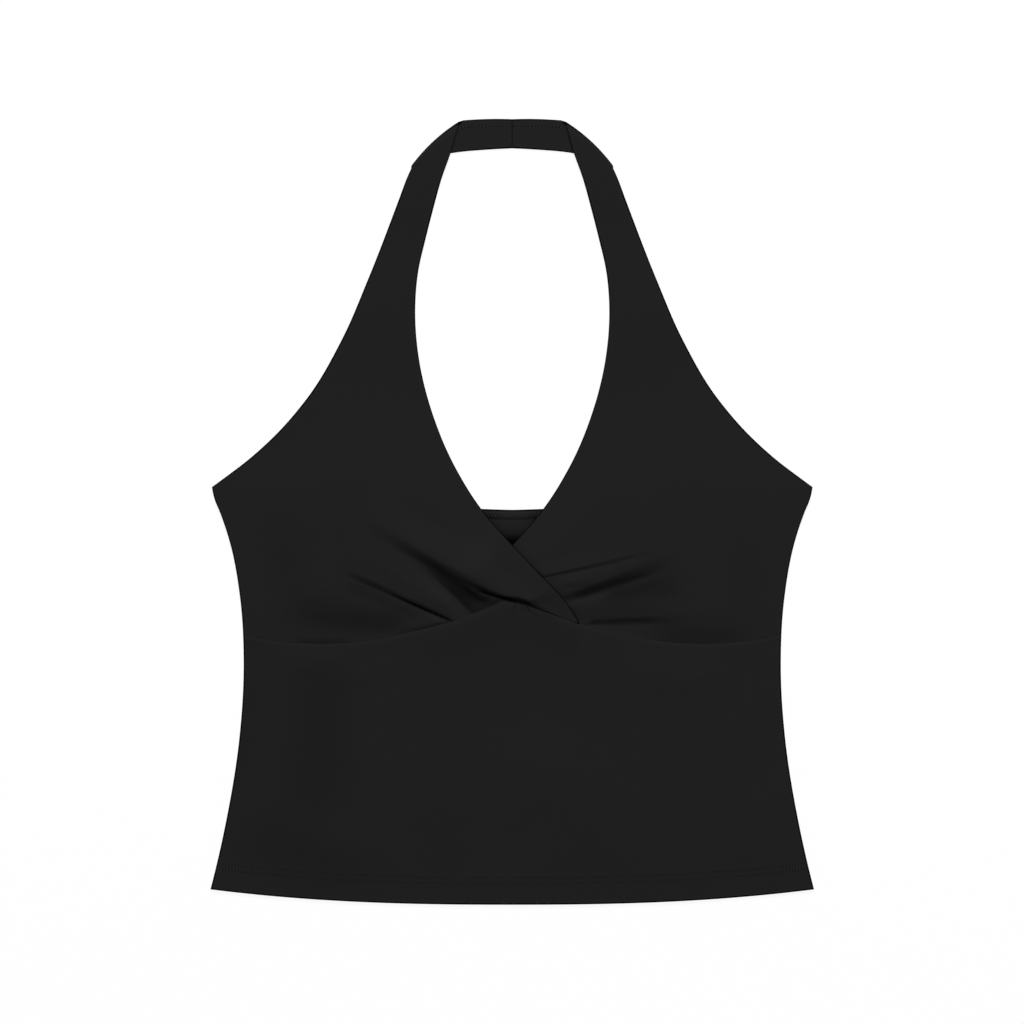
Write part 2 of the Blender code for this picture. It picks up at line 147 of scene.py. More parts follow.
# The shoulder fold: where the upper layer, the outermost line and the lower layer run
FOLD_TOP_Y = (223.4, 248.5)  # heights of its armhole and neck ends
FOLD_OUT = ((-63.7, 227.1), (-33.2, 254.2))
FOLD_BOTTOM = ((-59.9, 227.7), (-31.4, 254.7))
FOLD_BULGE = 1.8  # how far its layers bow outwards
FOLD_OUT_BULGE = 2.2  # and its outermost line
FOLD_CORNER = 0.58  # how much less it reaches out at its neck end
FOLD_CORNER_FROM = 0.92  # over this last share of the fold

# ---------------- how the cloth lies
# A band, here and below, is the start and the length of a stretch over which something grows or fades.
FULLNESS = 2.6  # of a cup at its fullest
FULL_TOP = (-10.0, 98.0)  # band of heights over which it runs out towards the strap
FULL_SIDE = 66.0  # how far it takes to grow from the side edge
FULL_NECK = 34.0  # and from the neck edge
PINCH_SIDE = 22.0  # and from the seam under the bust, at the side
PINCH_KNOT = 3.0  # and at the knot
NECK_SHARE = 0.25  # its share at the neck edge
KNOT = (-9.0, 34.0)  # the knot's stretch of the seam
KNOT_SPAN = 22.0
PINCH_SHARE = 0.05  # share of the relief that is left at the seam
TAIL = 32.0  # the fullness falls over this length towards the crossing
TAIL_LOSS = 0.8  # by this share
FOLD_START = 1.4  # the folds grow over this length from the seam
FOLD_CLEAR = 1.5  # the under cup's folds grow from this far under the crossing edge
SHARP_POWER = 1.7  # how pointed the section of a sharp fold is
SOFT_CLIP = 0.3  # how softly a trough bottoms out, in square millimetres
CROSS_LIFT = 3.0  # how far the crossing stands up
CROSS_Y = -26.0  # its middle
CROSS_SPREAD = 21.0
BACK_BULGE = 3.6  # how far the back stands up between the cups
BACK_BULGE_HALF = 20.0
BACK_BULGE_RISE = (-1.2, 6.5)  # band over which it rises, below the top edge's lowest point
BACK_BULGE_FALL_Y = -6.5  # and it falls from this height
BACK_BULGE_FALL = 15.5  # over this length
BACK_BULGE_POWER = 1.35
EDGE_LEAD = 2.0  # an upper layer is up this far before it meets an edge under it
BACK_RAMP = 90.0  # length of the rise onto the back panel
CUP_RAMP = 20.0  # and onto the other cup
CUP_RAMP_SLANT = 0.75  # the crossing edge is slanted, so a step along x is this much shorter across it
BAND_RAMP = 60.0  # and onto the strap's own back end
BAND_REACH = 6.0  # the band's lower line is followed this far past the armhole's end
SEAM_SPREAD = 30.0  # the front panel follows the cups' edge over this length
SEAM_CHANGE = (-7.0, 12.0)  # band at the crossing edge's end where it goes to the other cup
SLACK = 0.7  # of the front panel
SLACK_SIDE = 30.0  # how far it takes to grow from the side
SLACK_SEAM = 8.0  # and from the seam under the bust
SLACK_SEAM_SHARE = 0.3  # its share at that seam
SLACK_HEM = 40.0  # and how far from the hem

# Troughs and ridges: height at the middle, path through three points, widths to the path's left and
# right at its start and end, the shares of the path over which it fades in and out, and how sharp its
# line is, from 0 to 1
OVER_FOLDS = (
    # name, height, start, middle, end, left, right, in, out, sharp
    ("wrap roll", 4.2, (-100, 3), (-56, -26), (-6, -50), (18, 26), (9, 8), 0.6, 0.3, 0),
    ("knot roll", 2.2, (-44, -36), (-8, -52.4), (32, -64), (20, 14), (4.5, 2.6), 0.45, 0.45, 0),
    ("wedge", -2.4, (-82, -16), (-45.3, -50.1), (-17.4, -74.7), (7, 18.5), (5, 6.5), 0.6, 0.2, 0),
    ("knot crease", -2.2, (-26, -50), (-13, -55), (4, -58.4), (1.8, 1.8), (3, 4), 0.4, 0.02, 0.4),
    ("inner line", -0.7, (-36, -46), (-24, -54), (-12, -58), (1.6, 1.6), (3, 3), 0.3, 0.1, 0.6),
    ("cup roll", 0.5, (-104, -22), (-72, -42), (-36, -66), (5, 5), (11, 9), 0.5, 0.3, 0),
    ("sharp fold", -1.4, (-116, -37.5), (-76.5, -55.8), (-36, -73.4), (6, 2.6), (6, 2.2), 0.35, 0.06, 0.3),
    ("seam tuck", 0.4, (-80, -77.5), (-60, -73.2), (-42, -69), (6, 5), (2.5, 2.5), 0.4, 0.2, 0),
)
UNDER_FOLDS = (
    ("crisp ridge", 1.0, (10, -43), (52, -34.3), (100, -21.8), (10, 12), (1.3, 3.0), 0.02, 0.8, 0.1),
    ("breast roll", 0.9, (30, -48), (62, -38), (104, -24), (8, 8), (9, 9), 0.15, 0.4, 0),
    ("soft valley", -1.7, (26, -61), (64, -48.8), (113, -31.5), (4.5, 9), (4, 7), 0.1, 0.5, 0),
    ("lower roll", 0.4, (30, -66), (74, -60), (112, -54), (6, 6), (9, 9), 0.2, 0.4, 0),
    ("low fold", -1.9, (38, -76), (70, -72.5), (106, -71.5), (2.5, 4), (3, 5), 0.12, 0.45, 0.4),
    ("low floor", -1.2, (40, -80), (72, -78), (116, -77), (7, 10), (8, 8), 0.12, 0.6, 0),
)
MIDRIFF_FOLDS = (
    ("knot pucker", -0.5, (2, -58), (-0.3, -64), (-1, -74), (1.2, 1.8), (1.6, 2.2), 0.05, 0.6, 0.5),
    ("side pucker", -0.4, (9, -61), (11, -65), (12, -70), (1, 1.4), (1.6, 2), 0.05, 0.6, 0.5),
    ("left slack", 0.9, (-150, -100), (-105, -104), (-60, -92), (14, 14), (16, 16), 0.4, 0.4, 0),
    ("right slack", 0.7, (60, -98), (108, -108), (150, -104), (14, 14), (16, 16), 0.4, 0.4, 0),
    ("waist swell", 1.0, (-110, -190), (0, -176), (110, -192), (46, 46), (50, 50), 0.35, 0.35, 0),
)

# Soft painted shade in the creases and hollows, in the same way. A strength of 1 leaves 0.37 of the tone.
OVER_PAINTED_SHADES = (
    # name, strength, start, middle, end, left, right, in, out, sharp
    ("sharp core", 4.0, (-84, -50.6), (-60, -61.7), (-34.5, -72.4), (1.2, 1.1), (1.3, 1.1), 0.6, 0.25, 0.2),
    ("sharp halo", 0.5, (-114, -37.4), (-74, -55), (-36, -71.4), (4.4, 3), (3, 1.6), 0.3, 0.2, 0),
    ("sharp foot", 0.3, (-116, -40.5), (-80, -56), (-48, -69.5), (1.6, 1.2), (11, 5), 0.3, 0.35, 0),
    ("wedge edge", 0.85, (-66, -26), (-38.1, -52.5), (-19.6, -71.8), (4, 20), (2.6, 2), 0.5, 0.34, 0),
    ("wedge core", 0.85, (-62, -27), (-34.5, -47), (-12, -60.5), (4.5, 5), (4, 5), 0.6, 0.2, 0),
    ("inner line", 0.6, (-31, -48.3), (-21.9, -56.2), (-8, -57.9), (1.6, 1.6), (1.6, 1.4), 0.3, 0.2, 0.2),
    ("knot core", 2.6, (-23, -49), (-12.6, -54), (0.5, -57.3), (1.0, 0.8), (0.9, 0.8), 0.4, 0.02, 0.3),
    ("knot halo", 0.5, (-30, -44.5), (-15, -52.5), (0, -57), (3.4, 3), (2.2, 2), 0.4, 0.02, 0),
    ("knot foot", 0.7, (-21, -54.6), (-14, -56), (-7, -57.8), (1.8, 1.6), (1.8, 1.6), 0.3, 0.25, 0),
    ("under wrap", 2.8, (-2, -57), (15, -62.3), (36, -70), (0.9, 0.8), (1.1, 0.9), 0.02, 0.45, 0.2),
    ("tuck shade", 0.6, (-76, -79.9), (-56.4, -75.1), (-37, -70.2), (2.4, 1.4), (1, 1), 0.45, 0.15, 0.3),
    ("seam accent", 0.4, (-146, -83.4), (-124, -85), (-98, -83.6), (4.5, 4.5), (1, 1), 0.35, 0.4, 0),
    ("low hollow", 0.26, (-156, -60), (-105, -70), (-58, -76), (24, 14), (14, 8), 0.3, 0.3, 0),
    ("side hollow", 0.07, (-146, 10), (-148, -30), (-140, -70), (20, 22), (20, 22), 0.5, 0.5, 0),
)
UNDER_PAINTED_SHADES = (
    ("crisp line", 0.4, (19, -41.2), (55.2, -34.3), (101, -22.2), (0.7, 3.4), (0.7, 3.4), 0.3, 0.4, 0),
    ("valley", 0.65, (34.5, -56.2), (66, -46.8), (114, -30), (3.5, 9), (3, 5), 0.25, 0.45, 0),
    ("valley pool", 0.3, (40, -55.4), (53, -50.4), (78, -42.5), (5.5, 4), (5, 4.5), 0.3, 0.45, 0),
    ("valley line", 0.4, (56, -49.4), (76, -44), (98, -37), (2.6, 3), (1.4, 2), 0.35, 0.4, 0.2),
    ("valley foot", 0.28, (54, -54), (82, -47.5), (118, -38), (5, 6), (6, 7), 0.3, 0.4, 0),
    ("lower shade", 0.25, (52, -58), (86, -53), (120, -48), (9, 9), (10, 9), 0.3, 0.4, 0),
    ("valley branch", 0.2, (30.3, -46.9), (42.2, -47.5), (58, -46), (2, 3), (2, 3), 0.3, 0.4, 0),
    ("low line", 0.55, (50, -71.2), (74, -71.4), (122, -69.6), (3.4, 5), (2.4, 4), 0.12, 0.6, 0),
    ("low hook", 0.5, (46.8, -74), (50.5, -72.6), (58, -70), (1.2, 1.5), (1.2, 1.5), 0.3, 0.4, 0),
    ("seam hollow", 0.28, (78, -83), (122, -85), (165, -81), (15, 15), (1, 1), 0.35, 0.35, 0),
    ("side hollow", 0.07, (150, -10), (153, -45), (150, -80), (16, 18), (16, 18), 0.5, 0.5, 0),
)
MIDRIFF_PAINTED_SHADES = (
    ("pucker one", 0.55, (3, -57.6), (1.9, -61.3), (0.8, -66), (0.7, 0.7), (0.7, 0.7), 0.1, 0.6, 0.3),
    ("pucker two", 0.5, (5.4, -58), (6.3, -60.7), (6.9, -63.5), (0.7, 0.7), (0.7, 0.7), 0.1, 0.6, 0.3),
    ("pucker end", 0.5, (8.6, -59.8), (10.8, -63.2), (13.8, -65.4), (0.8, 0.8), (0.8, 0.8), 0.1, 0.6, 0.3),
    ("wrap shade", 2.2, (-4, -57.4), (8, -59.5), (24, -66.2), (1, 1), (1.7, 0.9), 0.2, 0.45, 0.3),
    ("knot shade", 0.12, (4, -58.5), (18, -64.5), (36, -71.5), (2, 2), (7, 9), 0.2, 0.4, 0),
    ("left drag", 0.09, (-168, -108), (-101, -95), (-66, -82), (8, 8), (8, 8), 0.3, 0.4, 0),
    ("left hollow", 0.12, (-128, -92), (-126, -148), (-128, -216), (34, 38), (34, 38), 0.3, 0.3, 0),
    ("corner shade", 0.13, (-190, -200), (-128, -224), (-60, -240), (30, 20), (34, 30), 0.3, 0.6, 0),
    ("side shade", 0.08, (-184, -190), (-176, -140), (-172, -96), (10, 10), (16, 16), 0.3, 0.3, 0),
    ("right hollow", 0.03, (100, -120), (120, -160), (140, -230), (30, 30), (30, 30), 0.4, 0.4, 0),
)

# ---------------- sewing
HEM_ROWS = (13.7, 17.6)  # distances of the hem's needle rows from its edge
HEM_STITCH_END = 4.0  # how far from the side they end
HEM_TURN = 0.12  # extra thickness of the turned hem
HEM_TURN_END = (0.6, 3.0)  # band over which it ends, above the upper needle row
STITCH_PITCH = 2.0
STITCH_SHOWS = (0.24, 0.76)  # shares of the pitch between which a stitch shows
STITCH_DIVE = 0.6  # share of a hole's depth that its ends go down
HOLE_RADIUS = 0.44  # of the dimple that a needle leaves
HOLE_DEPTH = 0.4
HOLE_STEEP = 2.2
THREAD_RADIUS = 0.24
THREAD_RISE = 0.2  # how far a thread's middle is above the cloth, in radii
STITCH_RADII = np.array([0.6, 0.95, 1.0, 0.95, 0.6]) * THREAD_RADIUS
THREAD_SIDES = 6
SEAM_DROP = 0.12  # how far a sewn edge turns down
LIP_HEIGHT = 0.3  # how far the seam's lower edge stands up over its allowance
LIP_RISE = 2.2  # over this length from the seam
LIP_FALL = 5.0  # and down again over this length
BACK_TURN = 5.9  # depth of the turned top edge of the back
BACK_TURN_HEIGHT = 0.4  # its extra thickness
BACK_TURN_FALL = 0.7  # which ends over this length
BACK_TURN_SIDE = (26.0, 10.0)  # and over this band under the cups
BAND_STITCH_DOWN = 4.9  # the neck band's needle row lies this far under its top edge
BAND_STITCH_START = 1.4  # how far from the centre back it starts
BAND_STITCH_HALF = 34.0  # and ends
BAND_PITCH = 2.25
SEAM_THREAD = 0.42  # radius of the joining stitches at the centre back of the neck
SEAM_THREAD_PITCH = 2.4
SEAM_THREAD_SWAY = 0.3  # how far they swing to each side of the seam
SEAM_THREAD_ARCH = 0.2  # and how far they arch up
SEAM_THREAD_SINK = 0.9  # how far their ends are below the cloth, in radii
SEAM_THREAD_STEPS = 7
SEAM_THREAD_SIDES = 8
LOOP_PITCH = 2.1  # of the looper threads on the back's top edge
LOOP_RADIUS = 0.25
LOOP_RADII = np.array([0.7, 0.95, 1, 1, 1, 0.95, 0.7]) * LOOP_RADIUS
LOOP_HALF = 27.5  # half of the width that the loops cover
LOOP_SPAN = (1.9, 5.4)  # distances of their ends from the back's top edge
LOOP_LEAN = 0.75  # share of the pitch that the first thread of a loop leans over
LOOP_RISE = 0.5  # how far their middle is above the cloth, in radii
LOOP_DIVE = 0.25  # how far their ends go down

# ---------------- looks
JERSEY = (0.0097, 0.0097, 0.00975)
THREAD = (0.021, 0.021, 0.0211)
LOOP_THREAD = (0.0125, 0.0125, 0.0126)
SEAM_TONE = (0.0035, 0.0035, 0.0035)
RIM_PAINTED_SHADE = 0.9  # painted shade: how much darker a free edge is at its turn
RIM_PAINTED_HIGHLIGHT = 0.06  # and painted highlight: how much lighter just inside
RIM_DARK_END = (0.68, 0.6)  # bands of distances from the edge over which the darkness ends,
RIM_LIGHT_START = (0.8, 0.5)  # the lightness starts
RIM_LIGHT_END = (1.3, 1.0)  # and the lightness ends
STEP_SOFT = 0.8  # how much of that painted shade goes where the strap lies on the neck band
STEP_RISE = 28.0  # over this height
FOLD_RIM_END = (0.35, 0.6)  # band over which the painted shade at the shoulder fold's turn ends
# painted shade inside each needle hole
HOLE_PAINTED_SHADE = 0.97
V_PAINTED_SHADE = 0.99  # painted shadow: how much darker the back panel is at the crossing and below it
V_DARK_END = (1.6, 7.0)  # band above the crossing over which that fades out
V_EDGE_PAINTED_SHADE = 0.12  # and painted shade: how much darker it is beside the cups' edges
V_EDGE_WIDTH = 5.0
BAND_PAINTED_SHADE = 0.3  # painted shade: how much darker its turned edge is between the threads, in the middle
BAND_SIDE_PAINTED_SHADE = 0.4  # and beside the cups on top of that
BAND_SIDE = (4.0, 12.0)  # band over which that grows
BAND_DARK_START = (1.8, 1.4)  # bands below the top edge over which that darkness starts
BAND_DARK_END = (5.7, 0.5)  # and ends
CONTACT_PAINTED_SHADOWS = ((0.1, 0.6), (0.12, 4.5))  # strengths and widths of the painted shadow on the under cup at the crossing edge
CONTACT_REACH = 8.0  # no further from the edge than this
CONTACT_TOP = 4.0  # and no higher above the crossing
WALE = 0.64  # width of a column of the knit's loops
COURSE = 0.52  # and height of a loop
KNIT_SLANT = 1.3  # how steeply a loop's legs lean
KNIT_LOOPS = 0.35  # height of the loops, for columns of height 1
KNIT_FUZZ = 0.8  # and of the fibres on them
BUMP_DEPTH = 0.04
FLOOR_HALF = 6.0  # metres
FLOOR_DROP = 0.2  # clear space under the cloth
FLOOR_WHITE = 0.05
FLOOR_GLOW = 0.93
SKY = 0.30
KEY_RISE = 52.0  # degrees above the floor
KEY_TURN = 4.0  # degrees from straight above the neck, to the right
KEY_AWAY = 6.0  # metres, as are its size and the camera's height
KEY_SIZE = 1.8
KEY_POWER = 500.0
VIEW_WIDTH = 665.6 * MM  # how much of the floor the picture spans
CAMERA_HEIGHT = 2.4
CAMERA_LEFT = -0.00016  # this sets the top a quarter of a pixel to the right
SENSOR = 36.0

# ---------------- mesh steps
EDGE_STEPS = np.array([0.0, 0.04, 0.14, 0.3, 0.5, 0.7, 0.95, 1.25, 1.7])
THIN_EDGE = 0.03  # half of the thickness left at the very edge
CUP_COLUMNS = 190
CUP_ROWS = 92
CUP_LONG = 95.0  # a cup's height at the side, which its rows share out
CROWD = 0.35  # how much closer the points stand towards the crossing and the seam
OVER_MESH = (0.5, 0.0)  # how much a cup's columns lean, and its rows bow, along its folds
UNDER_MESH = (0.1, 0.2)
CHEST_STEP = 1.6
CHEST_ROWS = 140
SHOULDER_ROWS = 30
BEND_ROWS = 15
BAND_STEP = 0.4
STRAP_TURN_Y = 204.0  # from here up the strap's rows turn towards its fold
STRAP_TURN_IN_Y = 195.0  # and on its neck edge
ROWS_TURN = 0.38  # how much closer the chest's rows start on the neck edge
PANEL_STEP = 1.9
FINE_STEP = 0.25  # across the stitch holes
PUCKER_X = np.arange(-6.0, 18.0, 0.35)
FINE_OFFSETS = np.array([-0.8, -0.5, -0.3, -0.12, 0.12, 0.3, 0.5, 0.8])  # beside a needle row
BELOW_ROWS = np.arange(2.2, HEM_ROWS[0] - 1.5, PANEL_STEP)  # distances from the hem's edge
BETWEEN_ROWS = (15.1, 16.2)
ABOVE_ROWS = (19.2, 20.2, 21.6)
LIP_STEPS = np.arange(9.5, 1.9, -0.6)  # distances below the seam under the bust
BACK_TOP_STEPS = (8.0, 7.2, 6.8, 6.5, 6.2, 6.0, 5.8, 5.5, 4.6, 3.6, 2.6)  # and below the back's top edge
END_ROUNDS = 8  # steps that find where a curved row meets the side
BAND_PROBES = 400  # points at which a row of the neck band is tried for its stitches
FOLD_SAMPLES = 26
SEAM_SAMPLES = 1200


def ease(t):
    t = np.clip(t, 0.0, 1.0)
    return t * t * (3.0 - 2.0 * t)


def mix(first, last, t):
    return first + (last - first) * t


def ramp(value, band):
    """Eases from 0 to 1 over a band."""
    start, length = band
    return ease((value - start) / length)


def curve_through(table, q):
    """Smooth curve through a table of (position, value), read at the positions q."""
    knots = np.array([row[0] for row in table], float)
    values = np.array([row[1] for row in table], float)
    steps = np.diff(knots)
    secants = np.diff(values) / steps
    slopes = np.empty_like(values)
    slopes[0] = secants[0] + (secants[0] - secants[1]) * steps[0] / (steps[0] + steps[1])
    slopes[-1] = secants[-1] + (secants[-1] - secants[-2]) * steps[-1] / (steps[-1] + steps[-2])
    slopes[1:-1] = (secants[:-1] * steps[1:] + secants[1:] * steps[:-1]) / (steps[1:] + steps[:-1])
    q = np.asarray(q, float)
    i = np.clip(np.searchsorted(knots, q) - 1, 0, len(steps) - 1)
    t = (q - knots[i]) / steps[i]
    rise = values[i] * (1 + 2 * t) * (1 - t) ** 2 + values[i + 1] * t * t * (3 - 2 * t)
    lean = slopes[i] * t * (1 - t) ** 2 - slopes[i + 1] * t * t * (1 - t)
    return rise + lean * steps[i]


def side_x(y):
    return curve_through(SIDE, y)


def armhole_x(y):
    return curve_through(ARMHOLE, y)


def neck_x(y):
    return curve_through(NECK_EDGE, y)


def bust_seam_y(x):
    return curve_through(BUST_SEAM, np.minimum(np.abs(x), BUST_SEAM[-1][0]))


def hem_y(x):
    return -HALF_LENGTH + (HALF_LENGTH + HEM_CORNER_Y) * np.abs(np.asarray(x) / HEM_HALF) ** HEM_POWER


def back_top_y(x):
    across = np.minimum(np.abs(np.asarray(x) / UNDERARM_X), 1)
    middle, ends = BACK_DIP_POWERS
    return UNDERARM_Y - BACK_DIP * (1 - across ** middle) ** ends


def fold_relief(x, y, folds):
    """Sum of the troughs and ridges at the points."""
    relief = np.zeros_like(x)
    for _, height, start, middle, end, left, right, fade_in, fade_out, sharp in folds:
        start, middle, end = np.array(start, float), np.array(middle, float), np.array(end, float)
        pull = 2 * middle - (start + end) / 2
        t = np.linspace(0, 1, FOLD_SAMPLES + 1)[:, None]
        path = (1 - t) ** 2 * start + 2 * t * (1 - t) * pull + t * t * end
        wide = max(left + right)
        near = (x > path[:, 0].min() - wide) & (x < path[:, 0].max() + wide)
        near &= (y > path[:, 1].min() - wide) & (y < path[:, 1].max() + wide)
        if not near.any():
            continue
        px, py = x[near], y[near]
        nearest = np.full(px.shape, 1e9)
        side = np.zeros_like(px)
        along = np.zeros_like(px)
        for i in range(FOLD_SAMPLES):
            run = path[i + 1] - path[i]
            dx, dy = px - path[i][0], py - path[i][1]
            share = np.clip((dx * run[0] + dy * run[1]) / (run @ run), 0, 1)
            away = np.hypot(dx - share * run[0], dy - share * run[1])
            closer = away < nearest
            nearest = np.where(closer, away, nearest)
            side = np.where(closer, run[0] * dy - run[1] * dx, side)
            along = np.where(closer, (i + share) / FOLD_SAMPLES, along)
        off = nearest / np.where(side > 0, mix(*left, along), mix(*right, along))
        fade = ease(along / fade_in) * ease((1 - along) / fade_out)
        round_line = 1 - ease(off)
        sharp_line = np.clip(1 - off, 0, 1) ** SHARP_POWER
        relief[near] += height * fade * ((1 - sharp) * round_line + sharp * sharp_line)
    return relief


# ---------------- heights of the undersides
def back_height(x, y):
    """The back panel lies flat, but for a low bulge in the opening between the cups."""
    front = ramp(UNDERARM_Y - BACK_DIP - y, BACK_BULGE_RISE)
    fall = ease((BACK_BULGE_FALL_Y - y) / BACK_BULGE_FALL) ** BACK_BULGE_POWER
    return BACK_BULGE * front * (1 - fall) * (1 - ease(np.abs(x) / BACK_BULGE_HALF))


def front_support(x, y):
    """Height that the cups and straps rest at: on the back panel, the floor or the folded back end."""
    past_back = y - back_top_y(x) - EDGE_LEAD
    band_y = curve_through(BAND_LOWER, np.minimum(np.abs(x), ARMHOLE[-1][1] + BAND_REACH))
    to_band = band_y - y - EDGE_LEAD
    return (CLOTH + GAP) * (1 - np.minimum(ease(past_back / BACK_RAMP), ease(to_band / BAND_RAMP)))


def cross_lift(x, y):
    return CROSS_LIFT * np.exp(-(x * x + (y - CROSS_Y) ** 2) / (2 * CROSS_SPREAD ** 2))


def neck_edge_x(y):
    return neck_x(np.clip(y, CROSS_END_Y, NECK_EDGE[-1][0]))


def pinch_width(x):
    """How far the relief takes to grow from the seam under the bust; x is the cup's own, as below."""
    away = np.maximum(KNOT[0] - x, x - KNOT[1])
    return mix(PINCH_KNOT, PINCH_SIDE, ease(away / KNOT_SPAN))


def cup_relief(x, y, folds, lift):
    """How far a cup stands off what it lies on. x runs from its own side edge, at -X, to the crossing."""
    side = np.where(y < UNDERARM_Y, side_x(np.minimum(y, UNDERARM_Y)),
                    armhole_x(np.clip(y, UNDERARM_Y, ARMHOLE[-1][0])))
    full = FULLNESS * ease((side + x) / FULL_SIDE)
    full = full * mix(NECK_SHARE, 1, ease((-x - neck_edge_x(y)) / FULL_NECK))
    full = full * (1 - ramp(y, FULL_TOP)) * (1 - TAIL_LOSS * ease((x + TAIL) / TAIL))
    above = y - bust_seam_y(x)
    free = mix(PINCH_SHARE, 1, ease(above / pinch_width(x)))
    total = (full + lift) * free + folds * ease(above / FOLD_START)
    return (total + np.sqrt(total * total + SOFT_CLIP)) / 2


def under_cup_height(x, y):
    """Underside of the cup on the right, which passes under the other and is pressed flat there."""
    out = ease((x + neck_edge_x(y) + FOLD_CLEAR) / (2 * FOLD_CLEAR))
    folds = fold_relief(x, y, UNDER_FOLDS) * out
    return front_support(x, y) + cup_relief(-x, y, folds, cross_lift(x, y))


def over_cup_height(x, y):
    """Underside of the cup on the left, which crosses over the other and rises onto it."""
    folds = fold_relief(x, y, OVER_FOLDS)
    off_edge = (neck_edge_x(y) - x - EDGE_LEAD) * CUP_RAMP_SLANT
    on_under = (1 - ease(off_edge / CUP_RAMP)) * (y < UNDERARM_Y)
    above = under_cup_height(x, y) + CLOTH + GAP
    lift = cross_lift(x, y) * (1 - on_under)
    return mix(front_support(x, y), above, on_under) + cup_relief(x, y, folds, lift)


SEAM_X = np.linspace(-BUST_SEAM[-1][0], BUST_SEAM[-1][0], SEAM_SAMPLES)
ON_OVER = 1 - ramp(SEAM_X - CROSS_END_X, SEAM_CHANGE)
SEAM_HEIGHT = (ON_OVER * over_cup_height(SEAM_X, bust_seam_y(SEAM_X) + SEAM_GAP)
               + (1 - ON_OVER) * under_cup_height(SEAM_X, bust_seam_y(SEAM_X) + SEAM_GAP))


def midriff_height(x, y):
    """Underside of the front panel, slack over the back panel and sewn to the cups along its top."""
    to_side = side_x(y) - np.abs(x)
    to_seam = bust_seam_y(x) - y
    held = mix(SLACK_SEAM_SHARE, 1, ease(to_seam / SLACK_SEAM))
    held = held * ease(to_side / SLACK_SIDE) * ease((y - hem_y(x)) / SLACK_HEM)
    slack = held * np.maximum(0, SLACK + fold_relief(x, y, MIDRIFF_FOLDS))
    near = 1 - ease(to_seam / SEAM_SPREAD)
    rise = np.maximum(0, np.interp(x, SEAM_X, SEAM_HEIGHT) - CLOTH - GAP)
    return CLOTH + GAP + slack + near * rise


# ---------------- sewn detail
def hole_share(along, aside, pitch):
    """From 0 away from a row of needle holes to 1 inside a hole."""
    run = np.abs((along / pitch + 0.5) % 1 - 0.5) * pitch
    return ease((1 - np.hypot(run, aside) / HOLE_RADIUS) * HOLE_STEEP)


def hem_holes(x, y):
    up = y - hem_y(x)
    return np.maximum(*(hole_share(x, up - row, STITCH_PITCH) for row in HEM_ROWS))


def hem_form(x, y):
    """Extra height of the turned hem, with a dimple at each needle hole."""
    up = y - hem_y(x)
    form = HEM_TURN * (1 - ramp(up - HEM_ROWS[1], HEM_TURN_END))
    return form - HOLE_DEPTH * hem_holes(x, y)


def seam_lip(x, y):
    """The front panel's top edge swells up over the seam's allowance."""
    down = bust_seam_y(x) - y
    return LIP_HEIGHT * ease(down / LIP_RISE) * (1 - ease((down - LIP_RISE) / LIP_FALL))


def back_turn(x, y):
    """Extra height of the back's turned top edge, where the cups leave it clear."""
    down = back_top_y(x) - y
    end = 1 - ease((down - BACK_TURN) / BACK_TURN_FALL)
    return BACK_TURN_HEIGHT * end * (1 - ramp(np.abs(x), BACK_TURN_SIDE))


def band_stitch_y(x):
    return curve_through(BAND_UPPER, np.abs(x)) - BAND_STITCH_DOWN


def band_holes(x, y):
    holes = hole_share(np.abs(x) - BAND_STITCH_START, y - band_stitch_y(x), BAND_PITCH)
    return holes * (np.abs(x) < BAND_STITCH_HALF)


def rim_painted_shade_and_highlight(distance, strength=1.0):
    """Painted shade near a free edge, darker where it turns away from the light, and a painted highlight a
    little lighter just inside.
    """
    dark = 1 - ramp(distance, RIM_DARK_END)
    light = ramp(distance, RIM_LIGHT_START) * (1 - ramp(distance, RIM_LIGHT_END))
    return 1 - strength * RIM_PAINTED_SHADE * dark + RIM_PAINTED_HIGHLIGHT * light


def v_painted_shade(x, y):
    """Painted shade on the back panel, which darkens towards the crossing and stays dark below it, with
    more beside the cups' edges and on the turned top edge.
    """
    to_edge = (neck_edge_x(y) - np.abs(x)) * CUP_RAMP_SLANT
    point = 1 - V_PAINTED_SHADE * (1 - ramp(y - CROSS_POINT_Y, V_DARK_END))
    down = back_top_y(x) - y
    in_band = ramp(down, BAND_DARK_START) * (1 - ramp(down, BAND_DARK_END))
    band = 1 - in_band * (BAND_PAINTED_SHADE + BAND_SIDE_PAINTED_SHADE * ramp(np.abs(x), BAND_SIDE))
    return point * band * (1 - V_EDGE_PAINTED_SHADE * (1 - ease(to_edge / V_EDGE_WIDTH)))


def contact_painted_shadow(x, y):
    """Painted shadow on the under cup beside the edge of the cup that crosses it."""
    off = (x + neck_edge_x(y)) * CUP_RAMP_SLANT
    near = (off < CONTACT_REACH) & (y < CROSS_POINT_Y + CONTACT_TOP)
    return 1 - near * sum(strength * (1 - ease(off / width)) for strength, width in CONTACT_PAINTED_SHADOWS)


# ---------------- cloth shells
def crowd(count, amount):
    """Even shares from 0 to 1, drawn together towards 1 by the amount."""
    s = np.linspace(0, 1, count)
    return s + amount * s * (1 - s)


def with_edges(shares, length, both=True):
    """Shares with extra ones close to the ends, where the edge is turned."""
    lead = EDGE_STEPS / length
    last = lead[-1]
    top = 1 - last if both else 1
    inner = last + shares[1:-1] * (top - last)
    tail = 1 - lead[::-1] if both else [1.0]
    return np.concatenate([lead, inner, tail])


